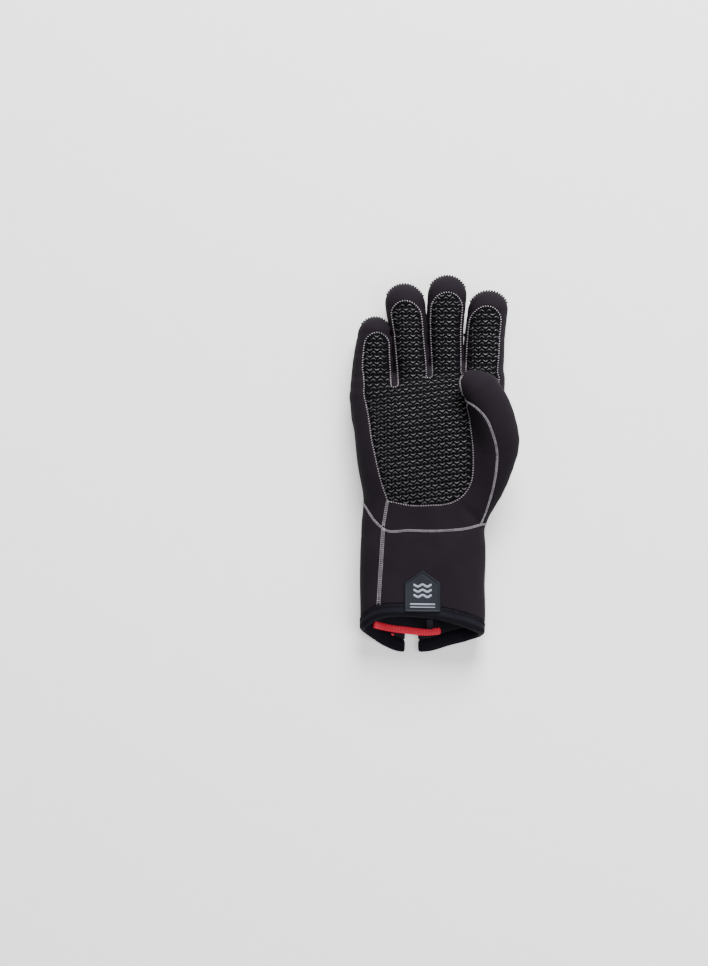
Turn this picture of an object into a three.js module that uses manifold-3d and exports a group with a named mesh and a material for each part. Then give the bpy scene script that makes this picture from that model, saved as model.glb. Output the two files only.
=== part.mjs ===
// A padded diving glove for the right hand, in millimetres, +Z up.
// It lies on its back: the palm looks up, the fingers point along +Y and the thumb is folded over the palm from +X.
// Hand, fingers, thumb and cuff are lofts through rings. Their union less a smaller copy of itself is the foam wall,
// and keystone cutters part that wall along the seams.
import * as THREE from "three";
import { mergeVertices } from "three/addons/utils/BufferGeometryUtils.js";
import Module from "manifold-3d";

// Foam, seams and binding
const WALL = 4;
const SEAM_GAP = 0.3;
const TONGUE_THICKNESS = 1.2;
const BINDING_WIDTH = 10;

// Hand, from the wrist seam to the knuckles
const HAND_LENGTH = 121.5;
const HAND_WIDTH = 122;
const HAND_HEIGHT = 44;
const WRIST_DIP = 28;

// Cuff, from the wrist seam to the point of its back
const CUFF_LENGTH = 98;
const CUFF_WIDTH = 99;
const CUFF_HEIGHT = 37;
const CUFF_POINT = 26;

// Fingers and thumb
const FINGER_HEIGHT = 30;
const FINGER_CURL = 5;
const FINGER_ROOT_DEPTH = 26;
const PINKY_LENGTH = 54;
const RING_LENGTH = 79;
const MIDDLE_LENGTH = 84;
const INDEX_LENGTH = 70.3;
const THUMB_LENGTH = 128;
const THUMB_WIDTH = 33;
const THUMB_HEIGHT = 29;
const THUMB_RISE = 50;

// Slit, flap and small pieces of the cuff
const NOTCH_WIDTH = 10.4;
const NOTCH_DEPTH = 14.7;
const ZIP_WIDTH = 8;
const ZIP_LENGTH = 58;
const FLAP_THICKNESS = 2;
const RED_BINDING_WIDTH = 5.4;
const RED_BINDING_THICKNESS = 3;
const BADGE_WIDTH = 27.5;
const BADGE_HEIGHT = 33.5;
const BADGE_PEAK = 10;
const BADGE_THICKNESS = 1.4;
const BADGE_ABOVE_HEM = 4.5;
const TAB_WIDTH = 5;
const TAB_THICKNESS = 1.2;
const TAB_CLEARANCE = 1;

// How finely the rings are divided, and how far cutters run past what they cut
const BODY_SIDES = 28;
const FINGER_SIDES = 16;
const INNER_FINGER_SIDES = 12;
const SMALL_SIDES = 10;
const GRIP_ARC_STEPS = 5;
const GRIP_STRAIGHT_SHARES = [0, 0.35, 0.7];
const RED_BINDING_STEPS = 8;
const CUTTER_MARGIN = 40;
const WELD = 1e-4;

// How far a ring would sink below the floor if it weren't pressed flat, as a share of its height
const PRESSED_SHARE = 0.07;

// How square the rings are: 2 is an ellipse, and higher numbers come closer to a rectangle
const HAND_SQUARENESS = 2.5;
const CUFF_SQUARENESS = 2.4;
const FINGER_SQUARENESS = 2.3;
const THUMB_SQUARENESS = 2.2;
const RED_BINDING_SQUARENESS = 3;

// Limits that keep rings and cuts sound: the least half width of a ring, how near a ring's side a cut may come, and
// how sharply a cut's corner may be mitred
const LEAST_HALF_WIDTH = 0.5;
const NEAREST_SIDE = 0.97;
const SHARPEST_MITRE = 0.3;

// How far cutters reach inside and outside the wall, in walls or in shares of the body's half width
const KEYSTONE_DEPTH = 2.2;
const KEYSTONE_PROUD = 0.5;
const KEYSTONE_FOOT = 0.45;
const EDGE_INNER_REACH = 0.5;
const EDGE_OUTER_REACH = 1.6;

// The wrist seam's place and the middle of the cuff, which the sections are measured from
const WRIST_Y = -54;
const CUFF_CENTRE_X = -10.4;
const HAND_CENTRE_X = -6;
const THUMB_ROOT_X = 38.5;
const THUMB_ROOT_Y = -47.5;

// Hand sections. along is a share of HAND_LENGTH from the wrist, left and right are shares of HAND_WIDTH from the
// hand's middle, top is a share of HAND_HEIGHT and slant turns the ring, as the knuckles run up towards the index.
const HAND_SECTIONS = [
  { along: 0.0, left: -0.43, right: 0.372, top: 0.85, slant: 0 },
  { along: 0.18, left: -0.421, right: 0.416, top: 0.92, slant: 0 },
  { along: 0.36, left: -0.45, right: 0.449, top: 0.98, slant: 0 },
  { along: 0.54, left: -0.475, right: 0.475, top: 1.0, slant: 0 },
  { along: 0.72, left: -0.491, right: 0.494, top: 0.97, slant: 0.03 },
  { along: 0.87, left: -0.496, right: 0.5, top: 0.88, slant: 0.09 },
  { along: 0.95, left: -0.49, right: 0.485, top: 0.8, slant: 0.12 },
  { along: 1.0, left: -0.45, right: 0.45, top: 0.66, slant: 0.15 },
];

// Cuff sections. along is a share of CUFF_LENGTH from the wrist towards the hem, left and right are shares of
// CUFF_WIDTH from the cuff's middle and top is a share of CUFF_HEIGHT. The last lies past the hem and is cut away.
const CUFF_SECTIONS = [
  { along: 1.25, left: -0.49, right: 0.475, top: 0.93 },
  { along: 0.8, left: -0.502, right: 0.492, top: 0.97 },
  { along: 0.5, left: -0.503, right: 0.5, top: 1.0 },
  { along: 0.15, left: -0.494, right: 0.5, top: 1.0 },
];

// Fingers. across and width are the middle line's place and the finger's width at its root, middle, pad and tip, as
// shares of HAND_WIDTH from the hand's middle, and base is where the crotch line crosses it, a share of HAND_LENGTH.
const FINGERS = [
  { length: PINKY_LENGTH, base: 0.97, across: [-0.361, -0.356, -0.345, -0.338], width: [0.281, 0.248, 0.214, 0.2] },
  { length: RING_LENGTH, base: 0.985, across: [-0.1, -0.116, -0.143, -0.148], width: [0.233, 0.231, 0.254, 0.25] },
  { length: MIDDLE_LENGTH, base: 1.0, across: [0.1235, 0.118, 0.131, 0.13], width: [0.205, 0.222, 0.247, 0.245] },
  { length: INDEX_LENGTH, base: 1.01, across: [0.3635, 0.374, 0.397, 0.412], width: [0.262, 0.268, 0.262, 0.25] },
];

// The shares of a finger's reach that those places stand at, its height there as a share of FINGER_HEIGHT, the steps
// that round its tip and the first of them, and its girth where it starts inside the hand.
const FINGER_STATIONS = [0.3, 0.58, 0.85, 1.0];
const FINGER_HEIGHTS = [1.06, 1.0, 0.93, 0.88];
const TIP_STEPS = 4;
const TIP_FIRST_STEP = 0.9;
const ROOT_GIRTH = 0.86;

// Thumb sections along its bent middle line. out is a share of THUMB_WIDTH from the thumb's root towards +X, up is a
// share of THUMB_LENGTH towards +Y, rise is a share of THUMB_RISE and girth a share of the full thickness. The last
// rows close the tip.
const THUMB_SECTIONS = [
  { out: -0.32, up: 0.0, rise: 0.36, girth: 0.62 },
  { out: 0.0, up: 0.114, rise: 0.48, girth: 0.86 },
  { out: 0.21, up: 0.264, rise: 0.6, girth: 0.97 },
  { out: 0.358, up: 0.413, rise: 0.74, girth: 1.0 },
  { out: 0.333, up: 0.531, rise: 0.86, girth: 1.0 },
  { out: 0.164, up: 0.672, rise: 0.95, girth: 0.97 },
  { out: -0.127, up: 0.782, rise: 1.0, girth: 0.93 },
  { out: -0.258, up: 0.831, rise: 1.0, girth: 0.8 },
  { out: -0.333, up: 0.861, rise: 1.0, girth: 0.56 },
  { out: -0.373, up: 0.876, rise: 1.0, girth: 0.29 },
];
const THUMB_TIP_ROWS = 3;

// Edges round the wrist and the hem. across runs from -1 at the little-finger side to 1 at the thumb side, and palm
// and back are shares of WRIST_DIP or of CUFF_POINT above the lowest point of that edge, which for the wrist lies a
// share of WRIST_DIP below the seam's place.
const WRIST_LOW_SHARE = 0.25;
const WRIST_EDGE = [
  { across: -1.0, palm: 1.0, back: 1.0 },
  { across: -0.82, palm: 0.62, back: 0.8 },
  { across: -0.62, palm: 0.16, back: 0.5 },
  { across: -0.25, palm: 0.0, back: 0.3 },
  { across: 0.3, palm: 0.05, back: 0.3 },
  { across: 0.75, palm: 0.25, back: 0.36 },
  { across: 1.0, palm: 0.41, back: 0.41 },
];
const HEM_EDGE = [
  { across: -1.0, palm: 0.68, back: 0.68 },
  { across: -0.8, palm: 0.92, back: 0.44 },
  { across: -0.5, palm: 0.98, back: 0.08 },
  { across: -0.15, palm: 0.9, back: 0.0 },
  { across: 0.2, palm: 0.78, back: 0.07 },
  { across: 0.6, palm: 0.62, back: 0.32 },
  { across: 1.0, palm: 0.53, back: 0.55 },
];

// The grip's edges on each finger, as shares of the finger's half width from its middle line, and how far up the
// finger it ends as a share of its reach.
const GRIP_EDGES = [
  { left: -0.5, right: 0.84, end: 0.84 },
  { left: -0.84, right: 0.82, end: 0.87 },
  { left: -0.78, right: 0.84, end: 0.88 },
  { left: -0.84, right: 0.72, end: 0.87 },
];

// Seams over the palm. across and along are shares of HAND_WIDTH from the hand's middle and of HAND_LENGTH from the
// wrist. The grip's edge runs from the index's outer side down round the heel and up to the little finger.
const GRIP_HEEL = { across: -0.265, along: 0.15 };
const GRIP_PALM_EDGE = [
  { across: 0.44, along: 0.9 },
  { across: 0.3, along: 0.8 },
  { across: 0.272, along: 0.7 },
  { across: 0.295, along: 0.5 },
  { across: 0.295, along: 0.33 },
  { across: 0.265, along: 0.22 },
  { across: 0.18, along: 0.145 },
  { across: 0.05, along: 0.12 },
  { across: -0.12, along: 0.12 },
  GRIP_HEEL,
  { across: -0.3, along: 0.26 },
  { across: -0.345, along: 0.45 },
  { across: -0.385, along: 0.66 },
  { across: -0.41, along: 0.87 },
];
const GRIP_CROTCHES = [
  { across: -0.214, along: 0.93 },
  { across: 0.022, along: 0.985 },
  { across: 0.216, along: 1.0 },
];
const THUMB_SEAM = [
  { across: 0.34, along: -0.08 },
  { across: 0.39, along: 0.11 },
  { across: 0.428, along: 0.24 },
  { across: 0.447, along: 0.35 },
  { across: 0.451, along: 0.46 },
  { across: 0.42, along: 0.58 },
  { across: 0.367, along: 0.7 },
  { across: 0.307, along: 0.79 },
  { across: 0.15, along: 0.83 },
];
const LITTLE_FINGER_SEAM = { hand: -0.264, wrist: -0.29, hem: -0.325 };

// Where the hand's side is parted below the palm, as a share of HAND_HEIGHT, and how far up the side the thumb's
// panel and the palm's panel reach, as shares of HAND_LENGTH
const SIDE_SEAM_HEIGHT = 0.32;
const THUMB_SIDE_TOP = 0.36;
const PALM_SIDE_TOP = 0.83;

// The slit's middle across the cuff, from the cuff's middle, and the flap's line behind it. The flap's across is a
// share of CUFF_WIDTH and its up a share of CUFF_POINT above the cuff's lowest point. Its binding thins at the ends.
const SLIT_ACROSS = -0.086;
const FLAP_LINE = [
  { across: -0.389, up: 0.83 },
  { across: -0.243, up: 0.715 },
  { across: -0.13, up: 0.66 },
  { across: 0.02, up: 0.6 },
  { across: 0.153, up: 0.64 },
];
const RED_BINDING_END = 0.7;
const TAB_ACROSS = 0.06;
const TAB_LEAN = 5;

const CLOTH = { color: 0x26212a, roughness: 0.9, metalness: 0 };
const RUBBER_PRINT = { color: 0x2a292e, roughness: 0.5, metalness: 0 };
const BINDING_CLOTH = { color: 0x1c1a22, roughness: 0.85, metalness: 0 };
const BADGE_RUBBER = { color: 0x3b3f49, roughness: 0.45, metalness: 0 };
const RED_CLOTH = { color: 0xb02433, roughness: 0.8, metalness: 0 };
const ZIP_PLASTIC = { color: 0x1a1a1d, roughness: 0.5, metalness: 0 };

const wasm = await Module();
wasm.setup();

// A closed geometry as a solid, turned outward if its faces point in.
function solidOf(geometry) {
  const bare = geometry.index ? geometry.toNonIndexed() : geometry.clone();
  bare.deleteAttribute("normal");
  bare.deleteAttribute("uv");
  const merged = mergeVertices(bare, WELD);
  const triVerts = new Uint32Array(merged.index.array);
  const vertProperties = new Float32Array(merged.attributes.position.array);
  const solid = new wasm.Manifold(new wasm.Mesh({ numProp: 3, vertProperties, triVerts }));
  if (solid.volume() > 0) return solid;
  triVerts.reverse();
  return new wasm.Manifold(new wasm.Mesh({ numProp: 3, vertProperties, triVerts }));
}

// A solid as a mesh of the scene.
function meshOf(name, solid, material) {
  const { vertProperties, triVerts, numProp } = solid.getMesh();
  const positions = new Float32Array((vertProperties.length / numProp) * 3);
  for (let i = 0; i < positions.length / 3; i += 1) {
    for (let k = 0; k < 3; k += 1) positions[3 * i + k] = vertProperties[numProp * i + k];
  }
  const geometry = new THREE.BufferGeometry();
  geometry.setAttribute("position", new THREE.BufferAttribute(positions, 3));
  geometry.setIndex(new THREE.BufferAttribute(new Uint32Array(triVerts), 1));
  geometry.computeVertexNormals();
  const mesh = new THREE.Mesh(geometry, new THREE.MeshStandardMaterial(material));
  mesh.name = name;
  return mesh;
}

// The largest body of a solid. Where two cuts almost meet they leave crumbs thinner than a hair, which are dropped.
function mainBody(solid) {
  return solid.decompose().reduce((kept, piece) => (piece.volume() > kept.volume() ? piece : kept));
}

// A closed solid through rings of equally many points, each end closed by a fan round its middle.
function skinOf(rings) {
  const sides = rings[0].length;
  const points = rings.flat();
  const faces = [];
  for (let i = 0; i + 1 < rings.length; i += 1) {
    for (let j = 0; j < sides; j += 1) {
      const a = i * sides + j;
      const b = i * sides + ((j + 1) % sides);
      faces.push(a, b, a + sides, b, b + sides, a + sides);
    }
  }
  for (const end of [0, rings.length - 1]) {
    const middle = new THREE.Vector3();
    rings[end].forEach((point) => middle.addScaledVector(point, 1 / sides));
    points.push(middle);
    for (let j = 0; j < sides; j += 1) {
      const a = end * sides + j;
      const b = end * sides + ((j + 1) % sides);
      if (end === 0) faces.push(points.length - 1, b, a);
      else faces.push(points.length - 1, a, b);
    }
  }
  const geometry = new THREE.BufferGeometry().setFromPoints(points);
  geometry.setIndex(faces);
  return solidOf(geometry);
}

// A closed solid between loops of equally many points, from the lowest to the highest, capped by the first and the
// last loop's outlines as seen from above.
function prismOf(loops) {
  const plan = (loop) => loop.map((point) => new THREE.Vector2(point.x, point.y));
  const turned = THREE.ShapeUtils.area(plan(loops[loops.length - 1])) < 0;
  const ordered = turned ? loops.map((loop) => [...loop].reverse()) : loops;
  const sides = ordered[0].length;
  const last = (ordered.length - 1) * sides;
  const faces = [];
  for (let i = 0; i + 1 < ordered.length; i += 1) {
    for (let j = 0; j < sides; j += 1) {
      const a = i * sides + j;
      const b = i * sides + ((j + 1) % sides);
      faces.push(a, b, a + sides, b, b + sides, a + sides);
    }
  }
  for (const [a, b, c] of THREE.ShapeUtils.triangulateShape(plan(ordered[0]), [])) faces.push(a, c, b);
  for (const [a, b, c] of THREE.ShapeUtils.triangulateShape(plan(ordered[ordered.length - 1]), [])) {
    faces.push(last + a, last + b, last + c);
  }
  const geometry = new THREE.BufferGeometry().setFromPoints(ordered.flat());
  geometry.setIndex(faces);
  return solidOf(geometry);
}

// A point of a ring: a rounded oblong about its middle, pressed flat where it meets the floor. grow moves the
// whole ring outward, or inward where it is negative.
function ringPoint(section, angle, grow) {
  const power = 2 / section.squareness;
  const across = Math.sign(Math.cos(angle)) * Math.abs(Math.cos(angle)) ** power;
  const height = Math.sign(Math.sin(angle)) * Math.abs(Math.sin(angle)) ** power;
  const point = section.middle.clone();
  point.addScaledVector(section.side, across * Math.max(section.halfWidth + grow, LEAST_HALF_WIDTH));
  point.addScaledVector(section.lift, height * Math.max(section.halfHeight + grow, LEAST_HALF_WIDTH));
  point.z = Math.max(point.z, -grow);
  return point;
}

function loft(sections, sides, grow) {
  const turn = (2 * Math.PI) / sides;
  return skinOf(
    sections.map((section) => Array.from({ length: sides }, (_, j) => ringPoint(section, (j + 0.5) * turn, grow))),
  );
}

// An upright ring of the hand or cuff from its left and right edges and its top.
function uprightSection(y, left, right, top, slant, squareness) {
  const sunk = top * PRESSED_SHARE;
  return {
    middle: new THREE.Vector3((left + right) / 2, y, (top - sunk) / 2),
    side: new THREE.Vector3(1, slant, 0),
    lift: new THREE.Vector3(0, 0, 1),
    halfWidth: (right - left) / 2,
    halfHeight: (top + sunk) / 2,
    squareness,
  };
}

// Hand and cuff as one body, from past the hem to the knuckles.
function bodySections(shortened) {
  const cuff = CUFF_SECTIONS.map((row) =>
    uprightSection(
      WRIST_Y - row.along * CUFF_LENGTH,
      CUFF_CENTRE_X + row.left * CUFF_WIDTH,
      CUFF_CENTRE_X + row.right * CUFF_WIDTH,
      row.top * CUFF_HEIGHT,
      0,
      CUFF_SQUARENESS,
    ),
  );
  const hand = HAND_SECTIONS.map((row) =>
    uprightSection(
      WRIST_Y + row.along * (HAND_LENGTH - shortened),
      HAND_CENTRE_X + row.left * HAND_WIDTH,
      HAND_CENTRE_X + row.right * HAND_WIDTH,
      row.top * HAND_HEIGHT,
      row.slant,
      HAND_SQUARENESS,
    ),
  );
  return [...cuff, ...hand];
}

// The height and width of the body at a place along it, between its two nearest sections.
function bodyAt(y) {
  const sections = bodySections(0);
  let k = 1;
  while (k < sections.length - 1 && sections[k].middle.y < y) k += 1;
  const [a, b] = [sections[k - 1], sections[k]];
  const t = THREE.MathUtils.clamp((y - a.middle.y) / (b.middle.y - a.middle.y), 0, 1);
  const mix = (read) => THREE.MathUtils.lerp(read(a), read(b), t);
  return {
    middle: a.middle.clone().lerp(b.middle, t).setY(y),
    side: a.side,
    lift: a.lift,
    halfWidth: mix((s) => s.halfWidth),
    halfHeight: mix((s) => s.halfHeight),
    squareness: mix((s) => s.squareness),
  };
}

// The value at a place along a row of stations, straight between them.
function between(stations, values, at) {
  let k = 1;
  while (k < stations.length - 1 && stations[k] < at) k += 1;
  const t = THREE.MathUtils.clamp((at - stations[k - 1]) / (stations[k] - stations[k - 1]), 0, 1);
  return THREE.MathUtils.lerp(values[k - 1], values[k], t);
}

// A finger's ring at a share of its reach, which is its root depth and length together.
function fingerSection(finger, share, girth, grow) {
  const rootY = WRIST_Y + finger.base * HAND_LENGTH - FINGER_ROOT_DEPTH;
  const tall = between(FINGER_STATIONS, FINGER_HEIGHTS, share) * FINGER_HEIGHT;
  const sunk = tall * PRESSED_SHARE;
  return {
    middle: new THREE.Vector3(
      HAND_CENTRE_X + between(FINGER_STATIONS, finger.across, share) * HAND_WIDTH,
      rootY + share * (FINGER_ROOT_DEPTH + finger.length + grow),
      (tall - sunk) / 2 + FINGER_CURL * share ** 2,
    ),
    side: new THREE.Vector3(girth, 0, 0),
    lift: new THREE.Vector3(0, 0, girth),
    halfWidth: (between(FINGER_STATIONS, finger.width, share) * HAND_WIDTH) / 2,
    halfHeight: (tall + sunk) / 2,
    squareness: FINGER_SQUARENESS,
  };
}

// Rings of a finger: its stations, then a quarter turn of steps that round off the tip.
function fingerSections(finger, grow) {
  const tipShare = (finger.width[2] * HAND_WIDTH) / 2 / (FINGER_ROOT_DEPTH + finger.length);
  const straight = [...FINGER_STATIONS.slice(0, 2), 1 - tipShare];
  const rounded = Array.from({ length: TIP_STEPS }, (_, k) => (0.5 * Math.PI * (k + TIP_FIRST_STEP)) / TIP_STEPS);
  return [
    fingerSection(finger, 0, ROOT_GIRTH, grow),
    ...straight.map((share) => fingerSection(finger, share, 1, grow)),
    ...rounded.map((turn) => fingerSection(finger, 1 - tipShare * (1 - Math.sin(turn)), Math.cos(turn), grow)),
  ];
}

// Rings of the thumb, square to its bent middle line.
function thumbSections(grow) {
  const line = new THREE.CatmullRomCurve3(
    THUMB_SECTIONS.map(
      (row) =>
        new THREE.Vector3(
          THUMB_ROOT_X + row.out * THUMB_WIDTH,
          THUMB_ROOT_Y + row.up * THUMB_LENGTH,
          row.rise * THUMB_RISE,
        ),
    ),
  );
  return THUMB_SECTIONS.map((row, k) => {
    const share = k / (THUMB_SECTIONS.length - 1);
    const along = line.getTangent(share);
    const side = new THREE.Vector3(along.y, -along.x, 0).normalize();
    const closing = k >= THUMB_SECTIONS.length - THUMB_TIP_ROWS ? grow : 0;
    return {
      middle: line.getPoint(share).addScaledVector(along, closing),
      side,
      lift: new THREE.Vector3().crossVectors(side, along),
      halfWidth: (row.girth * THUMB_WIDTH) / 2,
      halfHeight: (row.girth * THUMB_HEIGHT) / 2,
      squareness: THUMB_SQUARENESS,
    };
  });
}

// The value of a table's column at a place across, straight between its rows.
function readEdge(table, column, across) {
  let k = 1;
  while (k < table.length - 1 && table[k].across < across) k += 1;
  const [a, b] = [table[k - 1], table[k]];
  const t = THREE.MathUtils.clamp((across - a.across) / (b.across - a.across), 0, 1);
  return THREE.MathUtils.lerp(a[column], b[column], t);
}

// Everything of the cuff's side of an edge line that runs round the body, moved by shift towards the fingers. Its
// front is straight through the wall, from the middle outward.
function beyondEdge(table, lowest, depth, shift) {
  const centre = bodyAt(lowest + depth / 2);
  const turn = (2 * Math.PI) / BODY_SIDES;
  const ring = (reach, fixedY) =>
    Array.from({ length: BODY_SIDES }, (_, j) => {
      const angle = (j + 0.5) * turn;
      const across = Math.sign(Math.cos(angle)) * Math.abs(Math.cos(angle)) ** (2 / centre.squareness);
      const column = Math.sin(angle) > 0 ? "palm" : "back";
      const y = fixedY ?? lowest + depth * readEdge(table, column, across) + shift;
      return new THREE.Vector3(
        centre.middle.x + reach * centre.halfWidth * across,
        y,
        centre.middle.z + reach * centre.halfHeight * Math.sin(angle),
      );
    });
  const farY = WRIST_Y - CUFF_LENGTH - CUTTER_MARGIN;
  return skinOf([ring(EDGE_INNER_REACH), ring(EDGE_OUTER_REACH), ring(EDGE_OUTER_REACH, farY)]);
}

const WRIST_LOWEST = WRIST_Y - WRIST_LOW_SHARE * WRIST_DIP;
const HEM_LOWEST = WRIST_Y - CUFF_LENGTH;
const pastWrist = (shift) => beyondEdge(WRIST_EDGE, WRIST_LOWEST, WRIST_DIP, shift);
const pastHem = (shift) => beyondEdge(HEM_EDGE, HEM_LOWEST, CUFF_POINT, shift);

const fingerSides = (grow) => (grow < 0 ? INNER_FINGER_SIDES : FINGER_SIDES);
const handWithFingers = (grow) => {
  let whole = loft(bodySections(-grow), BODY_SIDES, grow);
  for (const finger of FINGERS) whole = whole.add(loft(fingerSections(finger, grow), fingerSides(grow), grow));
  return whole;
};
const thumb = (grow) => loft(thumbSections(grow), fingerSides(grow), grow);
const body = (grow) => loft(bodySections(0), BODY_SIDES, grow);

// A straight block between two corners.
function block(low, high) {
  const size = new THREE.Vector3().subVectors(high, low);
  const middle = new THREE.Vector3().addVectors(low, high).multiplyScalar(0.5);
  return solidOf(new THREE.BoxGeometry(size.x, size.y, size.z).translate(middle.x, middle.y, middle.z));
}

// A keystone cutter over an edge line on the wall's outside. Each edge point has the wall's outward direction there,
// so the cut runs straight through the wall. inset draws the whole outline in.
function keystone(edge, inset) {
  const depth = KEYSTONE_DEPTH * WALL;
  const proud = KEYSTONE_PROUD * WALL;
  const roof = HAND_HEIGHT + THUMB_RISE;
  const count = edge.length;
  const inward = edge.map(({ point }, k) => {
    const next = edge[(k + 1) % count].point;
    return new THREE.Vector2(point.y - next.y, next.x - point.x).normalize();
  });
  const shifted = edge.map(({ point, normal }, k) => {
    const [before, after] = [inward[(k + count - 1) % count], inward[k]];
    const mitre = inset / Math.max(1 + before.dot(after), SHARPEST_MITRE);
    const corner = before.clone().add(after).multiplyScalar(mitre);
    return { point: point.clone().add(new THREE.Vector3(corner.x, corner.y, 0)), normal };
  });
  const inner = shifted.map(({ point, normal }) => point.clone().addScaledVector(normal, -depth));
  const outer = shifted.map(({ point, normal }) => point.clone().addScaledVector(normal, proud));
  const top = outer.map((point) => point.clone().setZ(roof));
  const deep = inner.map((point) => point.clone().setZ(KEYSTONE_FOOT * FINGER_HEIGHT));
  return prismOf([deep, inner, outer, top]);
}

// A point of a ring's upper side with the wall's outward direction there, at a share of the half width.
function upperPoint(section, share) {
  const n = section.squareness;
  const bounded = THREE.MathUtils.clamp(share, -NEAREST_SIDE, NEAREST_SIDE);
  const height = (1 - Math.abs(bounded) ** n) ** (1 / n);
  const normal = new THREE.Vector3(
    (Math.sign(bounded) * Math.abs(bounded) ** (n - 1)) / section.halfWidth,
    0,
    height ** (n - 1) / section.halfHeight,
  ).normalize();
  const point = new THREE.Vector3(
    section.middle.x + bounded * section.halfWidth,
    section.middle.y,
    section.middle.z + height * section.halfHeight,
  );
  return { point, normal };
}

// The grip's outline, counterclockwise from above: up and down each finger from the index to the little finger, and
// round the palm.
function gripEdge() {
  const edge = [];
  const onPalm = (row) => {
    const section = bodyAt(WRIST_Y + row.along * HAND_LENGTH);
    const x = HAND_CENTRE_X + row.across * HAND_WIDTH;
    return upperPoint(section, (x - section.middle.x) / section.halfWidth);
  };
  for (let k = FINGERS.length - 1; k >= 0; k -= 1) {
    const finger = FINGERS[k];
    const row = GRIP_EDGES[k];
    const middle = (row.left + row.right) / 2;
    const half = (row.right - row.left) / 2;
    const padHalf = fingerSection(finger, FINGER_STATIONS[2], 1, 0).halfWidth;
    const roundStart = row.end - (half * padHalf) / (FINGER_ROOT_DEPTH + finger.length);
    const straight = GRIP_STRAIGHT_SHARES.map((share) => THREE.MathUtils.lerp(FINGER_STATIONS[0], roundStart, share));
    const at = (share, across) => upperPoint(fingerSection(finger, share, 1, 0), across);
    edge.push(...straight.map((share) => at(share, row.right)));
    for (let step = 0; step <= GRIP_ARC_STEPS; step += 1) {
      const turn = (Math.PI * step) / GRIP_ARC_STEPS;
      const share = roundStart + (row.end - roundStart) * Math.sin(turn);
      edge.push(at(share, middle + half * Math.cos(turn)));
    }
    edge.push(...[...straight].reverse().map((share) => at(share, row.left)));
    if (k > 0) edge.push(onPalm(GRIP_CROTCHES[k - 1]));
  }
  edge.push(...[...GRIP_PALM_EDGE].reverse().map(onPalm));
  return edge;
}

// An upright prism over an outline, between two heights.
function prismOver(outline, low, high) {
  return prismOf([low, high].map((z) => outline.map(([x, y]) => new THREE.Vector3(x, y, z))));
}

const handX = (across) => HAND_CENTRE_X + across * HAND_WIDTH;
const handY = (along) => WRIST_Y + along * HAND_LENGTH;
const FAR = 2 * HAND_WIDTH;
const TOP = 2 * (HAND_HEIGHT + THUMB_RISE);
const SIDE_SEAM_Z = SIDE_SEAM_HEIGHT * HAND_HEIGHT;

// Everything on the thumb's side of the seam that runs up the palm, moved by shift towards the thumb.
function thumbSide(shift) {
  const seam = THUMB_SEAM.map((row) => [handX(row.across) + shift, handY(row.along)]);
  const first = seam[0];
  const last = seam[seam.length - 1];
  const outline = [[first[0], -FAR], ...seam, [last[0], FAR], [FAR, FAR], [FAR, -FAR]];
  return prismOver(outline, -CUTTER_MARGIN, TOP);
}

// The low part of the thumb's panel, which is also the hand's side by the wrist.
function thumbBase(shift) {
  const low = new THREE.Vector3(0, -FAR, SIDE_SEAM_Z + shift);
  const high = new THREE.Vector3(FAR, handY(THUMB_SIDE_TOP) - shift, TOP);
  return thumbSide(shift).intersect(block(low, high));
}

// What the thumb's panel covers: its low part, and above that all of the thumb that stands off the hand.
function thumbZone(shift) {
  const offHand = thumb(WALL).subtract(handWithFingers(shift > 0 ? 2 * shift : 0)).intersect(thumbSide(shift));
  return thumbBase(shift).add(offHand);
}

// What the smooth palm panel covers: from the little-finger seam to the hand's side, below the grip.
function palmSide(shift) {
  const seamX = (along) =>
    handX(THREE.MathUtils.lerp(LITTLE_FINGER_SEAM.wrist, LITTLE_FINGER_SEAM.hand, along)) + shift;
  const heel = GRIP_HEEL.along;
  const outline = [
    [seamX(-1), -FAR],
    [seamX(0), handY(0)],
    [seamX(1), handY(heel)],
    [handX(0), handY(2 * heel)],
    [handX(0), handY(PALM_SIDE_TOP) - shift],
    [FAR, handY(PALM_SIDE_TOP) - shift],
    [FAR, -FAR],
  ];
  return prismOver(outline, SIDE_SEAM_Z + shift, TOP);
}

// What the front panel of the cuff covers, from the little-finger seam round to the thumb side.
function cuffFront(shift) {
  const outline = [
    [handX(LITTLE_FINGER_SEAM.hem) + shift, HEM_LOWEST - CUTTER_MARGIN],
    [handX(LITTLE_FINGER_SEAM.wrist) + shift, handY(0)],
    [handX(LITTLE_FINGER_SEAM.wrist) + shift, FAR],
    [FAR, FAR],
    [FAR, HEM_LOWEST - CUTTER_MARGIN],
  ];
  return prismOver(outline, SIDE_SEAM_Z + shift, TOP);
}

// A slab through the back wall of the cuff, about the slit's middle, between two places along it.
const SLIT_X = CUFF_CENTRE_X + SLIT_ACROSS * CUFF_WIDTH;
function slitSlab(width, lowY, highY) {
  return block(
    new THREE.Vector3(SLIT_X - width / 2, lowY, -WALL),
    new THREE.Vector3(SLIT_X + width / 2, highY, 2 * WALL),
  );
}

// The lowest free height inside the cuff at a place across it.
function innerFloor(x, y) {
  const section = bodyAt(y);
  const n = section.squareness;
  const share = Math.min(Math.abs(x - section.middle.x) / (section.halfWidth - WALL), NEAREST_SIDE);
  const drop = (1 - share ** n) ** (1 / n) * (section.halfHeight - WALL);
  return Math.max(WALL, section.middle.z - drop);
}

// The red binding's middle line on the flap's edge, a little above the inside of the cuff's back.
function flapLine() {
  return FLAP_LINE.map((row) => {
    const x = CUFF_CENTRE_X + row.across * CUFF_WIDTH;
    const y = HEM_LOWEST + row.up * CUFF_POINT;
    return new THREE.Vector3(x, y, innerFloor(x, y) + 2 * SEAM_GAP + RED_BINDING_THICKNESS / 2);
  });
}

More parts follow.
